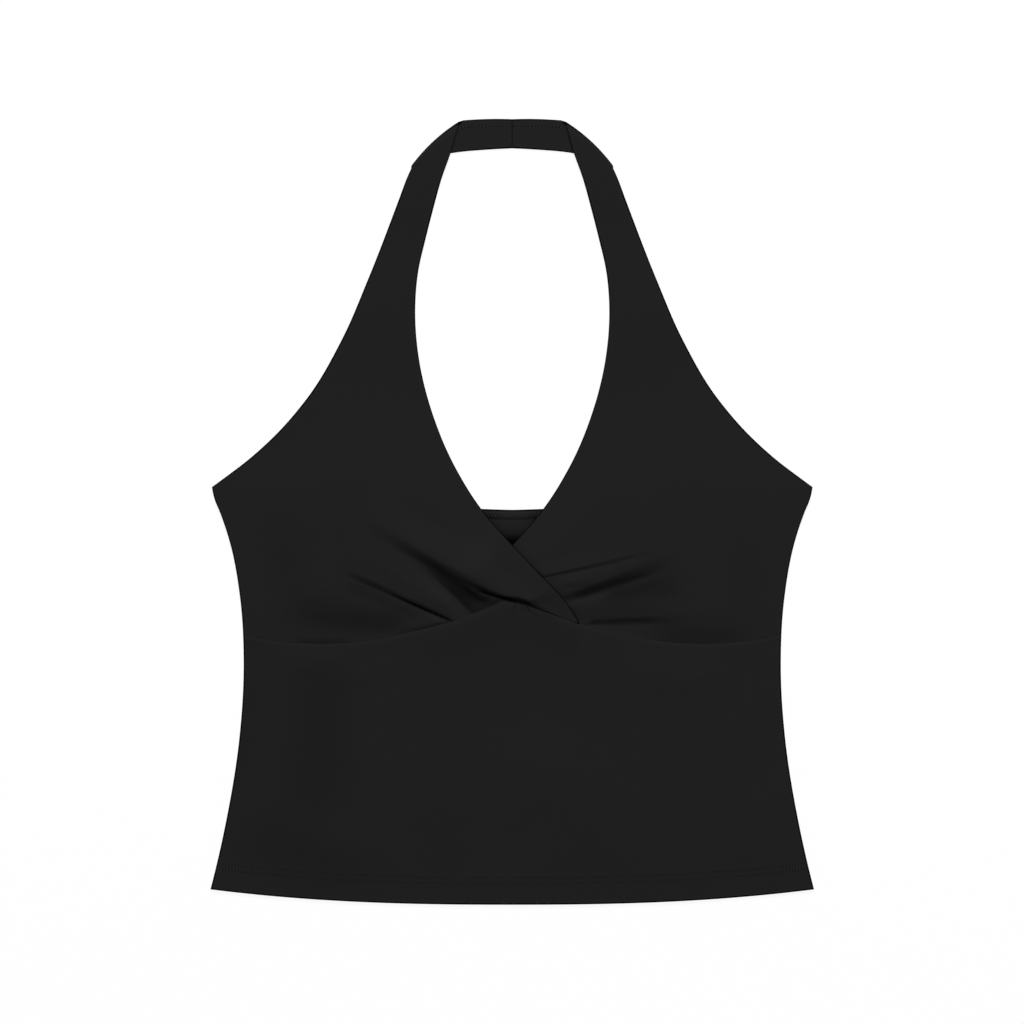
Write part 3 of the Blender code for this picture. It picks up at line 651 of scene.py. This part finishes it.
def half_thickness(free, sewn=ROUND):
    """Half of the cloth's thickness at its distances from a free edge and from a sewn one."""
    share = np.clip(free / ROUND, 0, 1)
    thick = mix(THIN_EDGE, CLOTH / 2, np.sqrt(1 - (1 - share) ** 2))
    share = np.clip(sewn / SEAM_ROUND, 0, 1)
    return thick - SEAM_DROP * (1 - share) ** 2


def bridge(first, second, first_start, second_start):
    """Triangles between two rows of points, given how far along each point is."""
    i, j, faces = 0, 0, []
    end_first, end_second = len(first) - 1, len(second) - 1
    while i < end_first or j < end_second:
        if j == end_second or (i < end_first and first[i + 1] + first[i] < second[j + 1] + second[j]):
            faces.append((first_start + i, first_start + i + 1, second_start + j))
            i += 1
        else:
            faces.append((first_start + i, second_start + j + 1, second_start + j))
            j += 1
    return faces


def add_object(name, data):
    item = bpy.data.objects.new(name, data)
    bpy.context.scene.collection.objects.link(item)
    return item


def add_piece(name, mesh, material):
    mesh.shade_smooth()
    mesh.materials.append(material)
    return add_object(name, mesh)


class Rows:
    """Rows of points on both sides of a cloth wall, from one end of the piece to the other."""

    def __init__(self):
        self.shares, self.right, self.wrong, self.flat, self.tone = [], [], [], [], []

    def add(self, shares, right, wrong, flat, tone):
        self.shares.append([float(s) for s in shares])
        self.right.append(right)
        self.wrong.append(wrong)
        self.flat.append(flat)
        self.tone.append(tone)

    def mirror(self):
        for points in (self.right, self.wrong):
            for k, row in enumerate(points):
                points[k] = row * (-1, 1, 1)


def make_shell(name, rows, material):
    """One closed shell from its rows, with the flat cut as its UV map."""
    starts = np.concatenate([[0], np.cumsum([len(row) for row in rows.shares])]).astype(int)
    total = int(starts[-1])
    points = np.vstack(rows.right + rows.wrong) * MM
    faces = []
    for k in range(len(rows.shares) - 1):
        faces += bridge(rows.shares[k], rows.shares[k + 1], int(starts[k]), int(starts[k + 1]))
    faces += [(c + total, b + total, a + total) for a, b, c in faces]
    rim = list(range(int(starts[1])))
    rim += [int(s) - 1 for s in starts[2:]]
    rim += list(range(total - 2, int(starts[-2]) - 1, -1))
    rim += [int(s) for s in starts[-3:0:-1]]
    faces += [(b, a, a + total, b + total) for a, b in zip(rim, rim[1:] + rim[:1])]
    mesh = bpy.data.meshes.new(name)
    mesh.from_pydata(points.tolist(), [], faces)
    shape = bmesh.new()
    shape.from_mesh(mesh)
    bmesh.ops.recalc_face_normals(shape, faces=shape.faces)
    shape.to_mesh(mesh)
    shape.free()
    corner_verts = np.empty(len(mesh.loops), np.int32)
    mesh.loops.foreach_get("vertex_index", corner_verts)
    flat = np.vstack(rows.flat + rows.flat) * MM
    uv = mesh.uv_layers.new(name="cut")
    uv.data.foreach_set("uv", flat[corner_verts].astype(np.float32).ravel())
    # the tone at each point holds the painted shade and painted highlight
    tone = mesh.attributes.new("tone", "FLOAT", "POINT")
    tone.data.foreach_set("value", np.concatenate(rows.tone + rows.tone).astype(np.float32))
    return add_piece(name, mesh, material)


def panel_row_lines(lower, upper, low_offsets, top_offsets):
    """Lines y(x) of a panel's rows: at set distances from both edges, and evenly spread between."""
    lines = [lambda x, up=up: lower(x) + up for up in low_offsets]
    first, last = low_offsets[-1], top_offsets[0]
    long = UNDERARM_Y - HEM_CORNER_Y if upper is back_top_y else HALF_LENGTH + BUST_SEAM[0][1]
    count = int((long - first - last) / PANEL_STEP)
    for t in np.linspace(0, 1, count + 2)[1:-1]:
        lines.append(lambda x, t=t: (1 - t) * (lower(x) + first) + t * (upper(x) - last))
    return lines + [lambda x, down=down: upper(x) - down for down in top_offsets]


def panel_rows(lower, upper, low_offsets, top_offsets, fine, sewn, underside, form, tone):
    """Rows of a panel that spans both sides, between a lower and an upper edge, which may be sewn."""
    rows = Rows()
    lines = panel_row_lines(lower, upper, low_offsets, top_offsets)
    for k, line in enumerate(lines):
        half = HEM_HALF
        for _ in range(END_ROUNDS):
            half = float(side_x(line(half)))
        if k < len(low_offsets) and low_offsets[k] in fine:
            x = np.linspace(-half, half, int(2 * half / FINE_STEP))
            u = (x / half + 1) / 2
        else:
            u = with_edges(crowd(int(2 * half / PANEL_STEP), 0), 2 * half)
            if sewn and k >= len(lines) - len(top_offsets):
                u = np.unique(np.round(np.concatenate([u, (PUCKER_X / half + 1) / 2]), 6))
            x = (2 * u - 1) * half
        y = line(x)
        edge = np.maximum(0, np.minimum(half - np.abs(x), y - lower(x)))
        to_upper = np.maximum(0, upper(x) - y)
        thick = half_thickness(edge, to_upper) if sewn else half_thickness(np.minimum(edge, to_upper))
        middle = underside(x, y) + CLOTH / 2
        plan = np.column_stack([x, y])
        right = np.column_stack([plan, middle + thick + form(x, y)])
        wrong = np.column_stack([plan, middle - thick])
        rows.add(u, right, wrong, plan, tone(x, y, half))
    return rows


def cup_patch_row(v, lean, bow):
    """A row of the cup between the seam under the bust, at v = 0, and the underarm, at v = 1."""
    width = BUST_SEAM[-1][0] + CROSS_END_X
    u = with_edges(crowd(CUP_COLUMNS, CROWD + lean * (1 - 2 * v)), width)
    w = u[:, None]
    v = v + bow * (4 * w * (1 - w)) * (4 * v * (1 - v))
    x_seam = -BUST_SEAM[-1][0] + u * width
    seam = np.column_stack([x_seam, bust_seam_y(x_seam) + SEAM_GAP / 2])
    corner = np.array([-UNDERARM_X, UNDERARM_Y])
    crossing = np.array([-float(neck_x(CROSS_POINT_Y)), CROSS_POINT_Y])
    top = mix(corner, crossing, w)
    y_left = mix(seam[0][1], UNDERARM_Y, v)
    left = np.hstack([-side_x(y_left), y_left])
    y_right = mix(seam[-1][1], CROSS_POINT_Y, v)
    right = np.hstack([-neck_x(y_right), y_right])
    sides = (1 - w) * left + w * right
    corners = (1 - w) * ((1 - v) * seam[0] + v * corner) + w * ((1 - v) * seam[-1] + v * crossing)
    return u, width, (1 - v) * seam + v * top + sides - corners


def outward(outer, inner):
    """Unit direction square to a row of the strap, away from the front."""
    run = np.subtract(inner, outer)
    return np.array([-run[1], run[0]]) / np.hypot(*run)


def straight_row(outer, inner, u, bulge):
    """Points from the armhole edge to the neck edge, bowed outwards by the bulge."""
    bow = 4 * u * (1 - u) * bulge
    return mix(np.array(outer), np.array(inner), u[:, None]) + bow[:, None] * outward(outer, inner)


def edge_points(y_out, y_in):
    """A point of the armhole edge and one of the neck edge, at their heights."""
    return (-float(armhole_x(y_out)), y_out), (-float(neck_x(y_in)), y_in)


def strap_row(outer, inner, crowding, bulge, stitched=None):
    """A row across the strap, with its shares and its width, and finer where it is stitched."""
    width = math.dist(outer, inner)
    u = with_edges(crowd(max(10, int(width / CHEST_STEP)), crowding), width)
    if stitched is not None:
        u = np.unique(np.round(np.concatenate([u, stitched + FINE_OFFSETS / width]), 6))
    return u, width, straight_row(outer, inner, u, bulge)


def add_front_row(rows, height, tone, u, width, plan):
    """A row of a cup or of its strap's front, right side up."""
    x, y = plan[:, 0], plan[:, 1]
    free = np.minimum(u, 1 - u) * width
    thick = half_thickness(free, np.maximum(0, y - bust_seam_y(x) - SEAM_GAP / 2))
    middle = height(x, y) + CLOTH / 2
    strength = 1 - STEP_SOFT * ease((y - STRAP_TURN_Y) / STEP_RISE) * (u > 0.5)
    rows.add(u, np.column_stack([plan, middle + thick]), np.column_stack([plan, middle - thick]),
             plan, rim_painted_shade_and_highlight(free, strength) * tone(x, y))


def add_fold_rows(rows, u, width, top):
    """The shoulder fold, half a turn from the strap's front down to its back end."""
    bottom = straight_row(*FOLD_BOTTOM, u, FOLD_BULGE)
    corner = 1 - FOLD_CORNER * ease((u - FOLD_CORNER_FROM) / (1 - FOLD_CORNER_FROM))
    reach = (straight_row(*FOLD_OUT, u, FOLD_OUT_BULGE) - (top + bottom) / 2) * corner[:, None]
    half_step, reach_out = (bottom - top) @ outward(*FOLD_OUT) / 2, reach @ outward(*FOLD_OUT)
    free = np.minimum(u, 1 - u) * width
    thick = half_thickness(free)
    rim = rim_painted_shade_and_highlight(free, 1 - STEP_SOFT * (u > 0.5))
    for turn in np.linspace(0, math.pi, BEND_ROWS + 2)[1:-1]:
        base = mix(top, bottom, (1 - math.cos(turn)) / 2)
        sides = []
        for radius in (BEND_RADIUS + thick, BEND_RADIUS - thick):
            plan = base + reach * math.sin(turn) * (radius / (BEND_RADIUS + thick))[:, None]
            sides.append(np.column_stack([plan, CLOTH + GAP / 2 + math.cos(turn) * radius]))
        inside = np.hypot(half_step, reach_out) - reach_out * math.sin(turn) + half_step * math.cos(turn)
        # painted shade where the fold turns under
        rows.add(u, *sides, base + (0, turn), rim * (1 - RIM_PAINTED_SHADE * (1 - ramp(inside, FOLD_RIM_END))))


def add_band_rows(rows):
    """The strap's back end, from its fold to the seam at the centre back of the neck, right side down."""
    low_start, high_start = FOLD_BOTTOM[0][0], FOLD_BOTTOM[1][0]
    centre = -SEAM_GAP / 2
    for s in 1 - with_edges(crowd(int(-high_start / BAND_STEP), 0), -low_start, both=False)[::-1]:
        x_low, x_high = mix(low_start, centre, s), mix(high_start, centre, s)
        outer = (x_low, float(curve_through(BAND_LOWER, -x_low)))
        inner = (x_high, float(curve_through(BAND_UPPER, -x_high)))
        bulge = FOLD_BULGE * (1 - ease(2 * s))
        probe = np.linspace(0, 1, BAND_PROBES)
        across = straight_row(outer, inner, probe, bulge)
        stitched = np.interp(0, across[:, 1] - band_stitch_y(across[:, 0]), probe)
        u, width, plan = strap_row(outer, inner, 0, bulge, stitched)
        free = np.minimum(u, 1 - u) * width
        thick = half_thickness(free, centre - plan[:, 0])
        holes = band_holes(plan[:, 0], plan[:, 1])
        rows.add(u, np.column_stack([plan, CLOTH / 2 - thick]),
                 np.column_stack([plan, CLOTH / 2 + thick - HOLE_DEPTH * holes]), plan * (1, -1),
                 rim_painted_shade_and_highlight(free) * (1 - HOLE_PAINTED_SHADE * holes))


def cup_and_strap_rows(height, tone, lean, bow):
    """Rows of a cup with its strap for the left side, from the seam under the bust to the centre back."""
    rows = Rows()
    for v in with_edges(crowd(CUP_ROWS, -CROWD), CUP_LONG, both=False):
        add_front_row(rows, height, tone, *cup_patch_row(v, lean, bow))
    for s in np.linspace(0, 1, CHEST_ROWS)[1:]:
        y_in = mix(CROSS_POINT_Y, STRAP_TURN_IN_Y, (1 - ROWS_TURN) * s + ROWS_TURN * s * s)
        ends = edge_points(mix(UNDERARM_Y, STRAP_TURN_Y, s), y_in)
        add_front_row(rows, height, tone, *strap_row(*ends, (CROWD - lean) * (1 - s), 0))
    for s in np.linspace(0, 1, SHOULDER_ROWS)[1:]:
        ends = edge_points(mix(STRAP_TURN_Y, FOLD_TOP_Y[0], s), mix(STRAP_TURN_IN_Y, FOLD_TOP_Y[1], s))
        u, width, plan = strap_row(*ends, 0, FOLD_BULGE * ease(s))
        add_front_row(rows, height, tone, u, width, plan)
    add_fold_rows(rows, u, width, plan)
    add_band_rows(rows)
    return rows


# ---------------- materials
def set_inputs(tree, node, inputs):
    """Sets each input of a node to its value, or links it to the output given for it."""
    for place, value in inputs.items():
        if isinstance(value, bpy.types.NodeSocket):
            tree.links.new(value, node.inputs[place])
        else:
            node.inputs[place].default_value = value


def new_material(name, colour, roughness, specular):
    material = bpy.data.materials.new(name)
    material.use_nodes = True
    material.diffuse_color = (*colour, 1)
    tree = material.node_tree
    shader = tree.nodes["Principled BSDF"]
    set_inputs(tree, shader, {"Base Color": (*colour, 1), "Roughness": roughness,
                              "Specular IOR Level": specular})
    return material, tree, shader


def math_node(tree, operation, *values):
    node = tree.nodes.new("ShaderNodeMath")
    node.operation = operation
    set_inputs(tree, node, dict(enumerate(values)))
    return node.outputs[0]


def scaled_colour(tree, colour, value):
    """The colour times a value."""
    blend = tree.nodes.new("ShaderNodeMix")
    blend.data_type = "RGBA"
    blend.clamp_factor = False
    set_inputs(tree, blend, {"A": (0, 0, 0, 1), "B": (*colour, 1), "Factor": value})
    return blend.outputs["Result"]


def add_noise(tree, place, scale, detail):
    noise = tree.nodes.new("ShaderNodeTexNoise")
    set_inputs(tree, noise, {"Scale": scale, "Detail": detail, "Vector": place})
    return noise.outputs["Fac"]


def add_bump(tree, shader, height, strength):
    bump = tree.nodes.new("ShaderNodeBump")
    set_inputs(tree, bump, {"Strength": strength, "Distance": BUMP_DEPTH * MM, "Height": height})
    set_inputs(tree, shader, {"Normal": bump.outputs["Normal"]})


def varied(tree, value, amount):
    """A tone of about 1 that varies by the amount."""
    return math_node(tree, "MULTIPLY_ADD", value, amount, 1 - amount / 2)


def jersey_material():
    """Fine single jersey: columns of small V-shaped loops, a little uneven in tone."""
    material, tree, shader = new_material("black_jersey", JERSEY, roughness=0.85, specular=0.02)
    cut = tree.nodes.new("ShaderNodeUVMap")
    cut.uv_map = "cut"
    place = cut.outputs["UV"]
    split = tree.nodes.new("ShaderNodeSeparateXYZ")
    set_inputs(tree, split, {"Vector": place})
    wale = math_node(tree, "MULTIPLY", split.outputs["X"], 1 / (WALE * MM))
    course = math_node(tree, "MULTIPLY", split.outputs["Y"], 1 / (COURSE * MM))
    across = math_node(tree, "PINGPONG", wale, 0.5)
    slanted = math_node(tree, "MULTIPLY_ADD", across, KNIT_SLANT, course)
    loop = math_node(tree, "SINE", math_node(tree, "MULTIPLY", slanted, 2 * math.pi))
    column = math_node(tree, "SINE", math_node(tree, "MULTIPLY", across, 2 * math.pi))
    knit = math_node(tree, "MULTIPLY_ADD", loop, KNIT_LOOPS, column)
    fuzz = add_noise(tree, place, scale=2600, detail=2)
    cloud = add_noise(tree, place, scale=14, detail=4)
    add_bump(tree, shader, math_node(tree, "MULTIPLY_ADD", fuzz, KNIT_FUZZ, knit), strength=0.2)
    # the points' tone darkens the colour with painted shade and lightens it with a painted highlight
    shade = tree.nodes.new("ShaderNodeAttribute")
    shade.attribute_name = "tone"
    soft, lint = varied(tree, cloud, amount=0.12), varied(tree, fuzz, amount=0.24)
    value = math_node(tree, "MULTIPLY", math_node(tree, "MULTIPLY", soft, lint), shade.outputs["Fac"])
    set_inputs(tree, shader, {"Base Color": scaled_colour(tree, JERSEY, value)})
    return material


def thread_material(name, colour):
    """Spun polyester thread, with the twist of its plies."""
    material, tree, shader = new_material(name, colour, roughness=0.8, specular=0.05)
    place = tree.nodes.new("ShaderNodeTexCoord")
    twist = tree.nodes.new("ShaderNodeTexWave")
    twist.bands_direction = "DIAGONAL"
    set_inputs(tree, twist, {"Scale": 1600, "Distortion": 1.5, "Vector": place.outputs["Object"]})
    add_bump(tree, shader, twist.outputs["Fac"], strength=0.4)
    value = varied(tree, twist.outputs["Fac"], amount=0.4)
    set_inputs(tree, shader, {"Base Color": scaled_colour(tree, colour, value)})
    return material


# ---------------- stitches
def make_threads(name, paths, radii, sides, material):
    """Short tubes, one along each path; paths is an array of stitches, points and coordinates."""
    paths = np.asarray(paths, float)
    count, steps = paths.shape[:2]
    tangent = np.gradient(paths, axis=1)
    tangent /= np.linalg.norm(tangent, axis=2, keepdims=True)
    across = np.cross(np.array([0.0, 0.0, 1.0]), tangent)
    across /= np.linalg.norm(across, axis=2, keepdims=True) + 1e-9
    upward = np.cross(tangent, across)
    angles = np.arange(sides) * 2 * math.pi / sides
    ring = across[:, :, None] * np.cos(angles)[:, None] + upward[:, :, None] * np.sin(angles)[:, None]
    points = paths[:, :, None] + ring * np.asarray(radii)[None, :, None, None]
    faces = []
    for k in range(count):
        base = k * steps * sides
        for i in range(steps - 1):
            for j in range(sides):
                a, b = base + i * sides + j, base + i * sides + (j + 1) % sides
                faces.append((a, b, b + sides, a + sides))
        faces.append(tuple(base + j for j in reversed(range(sides))))
        faces.append(tuple(base + (steps - 1) * sides + j for j in range(sides)))
    mesh = bpy.data.meshes.new(name)
    mesh.from_pydata((points.reshape(-1, 3) * MM).tolist(), [], faces)
    return add_piece(name, mesh, material)


def needle_row(starts, pitch, line, surface):
    """Paths of a row of stitches, each from one hole to the next, on a surface z(x, y)."""
    first, last = STITCH_SHOWS
    profile = np.linspace(first, last, len(STITCH_RADII))
    x = np.asarray(starts)[:, None] + profile * pitch
    y = line(x)
    dive = HOLE_DEPTH * STITCH_DIVE * ((profile - 0.5) / (last - 0.5)) ** 4
    return np.stack([x, y, surface(x, y) + THREAD_RADIUS * THREAD_RISE - dive], axis=2)


def make_hem_stitches(material):
    count = int((HEM_HALF - HEM_STITCH_END) / STITCH_PITCH)
    starts = np.arange(-count, count) * STITCH_PITCH
    rows = []
    for row in HEM_ROWS:
        rows.append(needle_row(starts, STITCH_PITCH, lambda x: hem_y(x) + row,
                               lambda x, y: midriff_height(x, y) + CLOTH + HEM_TURN))
    return make_threads("hem_stitches", np.concatenate(rows), STITCH_RADII, THREAD_SIDES, material)


def make_band_stitches(material):
    starts = BAND_STITCH_START + BAND_PITCH * np.arange(int(BAND_STITCH_HALF / BAND_PITCH))
    row = needle_row(starts, BAND_PITCH, band_stitch_y, lambda x, y: np.full_like(x, CLOTH))
    return make_threads("neck_band_stitches", np.concatenate([row, row[:, ::-1] * (-1, 1, 1)]),
                        STITCH_RADII, THREAD_SIDES, material)


def make_neck_seam(material):
    """The joining stitches in the seam at the centre back of the neck, slanted across the gap."""
    low, high = BAND_LOWER[0][1] + SEAM_THREAD, BAND_TOP_Y - SEAM_THREAD
    count = round((high - low) / SEAM_THREAD_PITCH)
    pitch = (high - low) / count
    t = np.linspace(0, 1, SEAM_THREAD_STEPS)
    y = low + (np.arange(count)[:, None] + t) * pitch
    x = SEAM_THREAD_SWAY * np.sin(2 * math.pi * t) * (-1.0) ** np.arange(count)[:, None]
    z = CLOTH - SEAM_THREAD * SEAM_THREAD_SINK + SEAM_THREAD_ARCH * np.sin(math.pi * t) + 0 * y
    return make_threads("neck_seam_stitches", np.stack([x, y, z], axis=2),
                        np.full(SEAM_THREAD_STEPS, SEAM_THREAD), SEAM_THREAD_SIDES, material)


def make_back_edge_loops(material):
    """The looper side of the coverstitch along the back's turned top edge: slanted threads."""
    count = int(LOOP_HALF / LOOP_PITCH)
    starts = np.arange(-count, count)[:, None] * LOOP_PITCH
    t = np.linspace(0, 1, len(LOOP_RADII))
    strokes = []
    top, bottom = LOOP_SPAN
    for begin, lean, first, last in ((0, LOOP_LEAN, top, bottom), (LOOP_LEAN, 1 - LOOP_LEAN, bottom, top)):
        x = starts + (begin + t * lean) * LOOP_PITCH
        y = back_top_y(x) - mix(first, last, t)
        z = back_height(x, y) + CLOTH + back_turn(x, y) + LOOP_RADIUS * LOOP_RISE
        strokes.append(np.stack([x, y, z - LOOP_DIVE * (2 * t - 1) ** 4], axis=2))
    return make_threads("back_edge_loops", np.concatenate(strokes), LOOP_RADII, THREAD_SIDES, material)


# ---------------- the pieces
def make_back_panel(cloth):
    # painted shade and highlight at the edges, and painted shade in the opening between the cups
    def tone(x, y, half):
        free = np.minimum(half - np.abs(x), np.minimum(y - hem_y(x), back_top_y(x) - y))
        return rim_painted_shade_and_highlight(free) * v_painted_shade(x, y)

    top_offsets = np.concatenate([BACK_TOP_STEPS, EDGE_STEPS[::-1]])
    rows = panel_rows(hem_y, back_top_y, EDGE_STEPS, top_offsets, (), False, back_height, back_turn, tone)
    return make_shell("back_panel_cloth", rows, cloth)


def make_front_midriff(cloth):
    def top_edge(x):
        return bust_seam_y(x) - SEAM_GAP / 2

    # painted shade and highlight at the edges, and painted shade in the needle holes, the creases and the
    # broad hollows
    def tone(x, y, half):
        rim = rim_painted_shade_and_highlight(np.minimum(half - np.abs(x), y - hem_y(x)))
        return rim * (1 - HOLE_PAINTED_SHADE * hem_holes(x, y)) * np.exp(-fold_relief(x, y, MIDRIFF_PAINTED_SHADES))

    def form(x, y):
        return hem_form(x, y) + seam_lip(x, y)

    lower_row, upper_row = (row + FINE_OFFSETS for row in HEM_ROWS)
    low = np.concatenate([EDGE_STEPS, BELOW_ROWS, lower_row, BETWEEN_ROWS, upper_row, ABOVE_ROWS])
    fine = np.concatenate([lower_row[1:-1], upper_row[1:-1]])
    top_offsets = np.concatenate([LIP_STEPS, EDGE_STEPS[::-1]])
    rows = panel_rows(hem_y, top_edge, low, top_offsets, fine, True, midriff_height, form, tone)
    return make_shell("front_midriff_cloth", rows, cloth)


def make_over_cup(cloth):
    # painted shade in the creases and hollows, on both sides of the cloth
    def tone(x, y):
        return np.exp(-fold_relief(x, y, OVER_PAINTED_SHADES))

    rows = cup_and_strap_rows(over_cup_height, tone, *OVER_MESH)
    return make_shell("cup_strap_left_cloth", rows, cloth)


def make_under_cup(cloth):
    # painted shadow at the crossing edge and painted shade in the creases and hollows
    def tone(x, y):
        return contact_painted_shadow(-x, y) * np.exp(-fold_relief(-x, y, UNDER_PAINTED_SHADES))

    rows = cup_and_strap_rows(lambda x, y: under_cup_height(-x, y), tone, *UNDER_MESH)
    rows.mirror()
    return make_shell("cup_strap_right_cloth", rows, cloth)


def dress(piece, *nodes):
    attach(piece, "root")
    if nodes:
        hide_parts(*nodes)


def lay(extras=()):
    """Attaches the extra pieces to the root body."""
    for extra in extras:
        dress(extra)


# ---------------- floor, lights and camera
def make_floor():
    """A pale table that glows a little, so that the cloth casts almost no shadow on it."""
    mesh = bpy.data.meshes.new("floor")
    corners = [(-1, -1), (1, -1), (1, 1), (-1, 1)]
    mesh.from_pydata([(x * FLOOR_HALF, y * FLOOR_HALF, 0) for x, y in corners], [], [(0, 1, 2, 3)])
    floor = add_object("floor", mesh)
    floor.location.z = -FLOOR_DROP * MM
    material, tree, shader = new_material("pale_floor", (FLOOR_WHITE,) * 3, roughness=0.9, specular=0.0)
    set_inputs(tree, shader, {"Emission Color": (1, 1, 1, 1), "Emission Strength": FLOOR_GLOW})
    mesh.materials.append(material)


def make_lights():
    world = bpy.data.worlds.new("studio")
    bpy.context.scene.world = world
    world.use_nodes = True
    tree = world.node_tree
    set_inputs(tree, tree.nodes["Background"], {"Color": (1, 1, 1, 1), "Strength": SKY})
    light = bpy.data.lights.new("key", "AREA")
    light.shape = "SQUARE"
    light.size = KEY_SIZE
    light.energy = KEY_POWER
    key = add_object("key", light)
    turn, rise = math.radians(KEY_TURN), math.radians(KEY_RISE)
    key.location = (KEY_AWAY * math.cos(rise) * math.sin(turn), KEY_AWAY * math.cos(rise) * math.cos(turn),
                    KEY_AWAY * math.sin(rise))
    key.rotation_euler = (-key.location).to_track_quat("-Z", "Y").to_euler()


def make_camera():
    data = bpy.data.cameras.new("camera")
    data.sensor_width = SENSOR
    data.lens = SENSOR * CAMERA_HEIGHT / VIEW_WIDTH
    data.clip_end = 2 * FLOOR_HALF
    camera = add_object("camera", data)
    camera.location = (CAMERA_LEFT, 0, CAMERA_HEIGHT + CLOTH * MM)
    bpy.context.scene.camera = camera
    bpy.context.scene.view_settings.view_transform = "Standard"


def main():
    make_camera()
    make_lights()
    make_floor()
    cloth = jersey_material()
    thread, dark_thread = thread_material("black_thread", THREAD), thread_material("seam_thread", SEAM_TONE)
    back, midriff = make_back_panel(cloth), make_front_midriff(cloth)
    under, over = make_under_cup(cloth), make_over_cup(cloth)
    hem, band = make_hem_stitches(thread), make_band_stitches(thread)
    loops = make_back_edge_loops(thread_material("loop_thread", LOOP_THREAD))
    neck_seam = make_neck_seam(dark_thread)
    dress(back, "back_panel")
    dress(midriff, "front_midriff")
    dress(under, "cup_strap_right")
    dress(over, "cup_strap_left")
    lay([loops])
    lay([hem])
    lay()
    lay([band, neck_seam])


main()
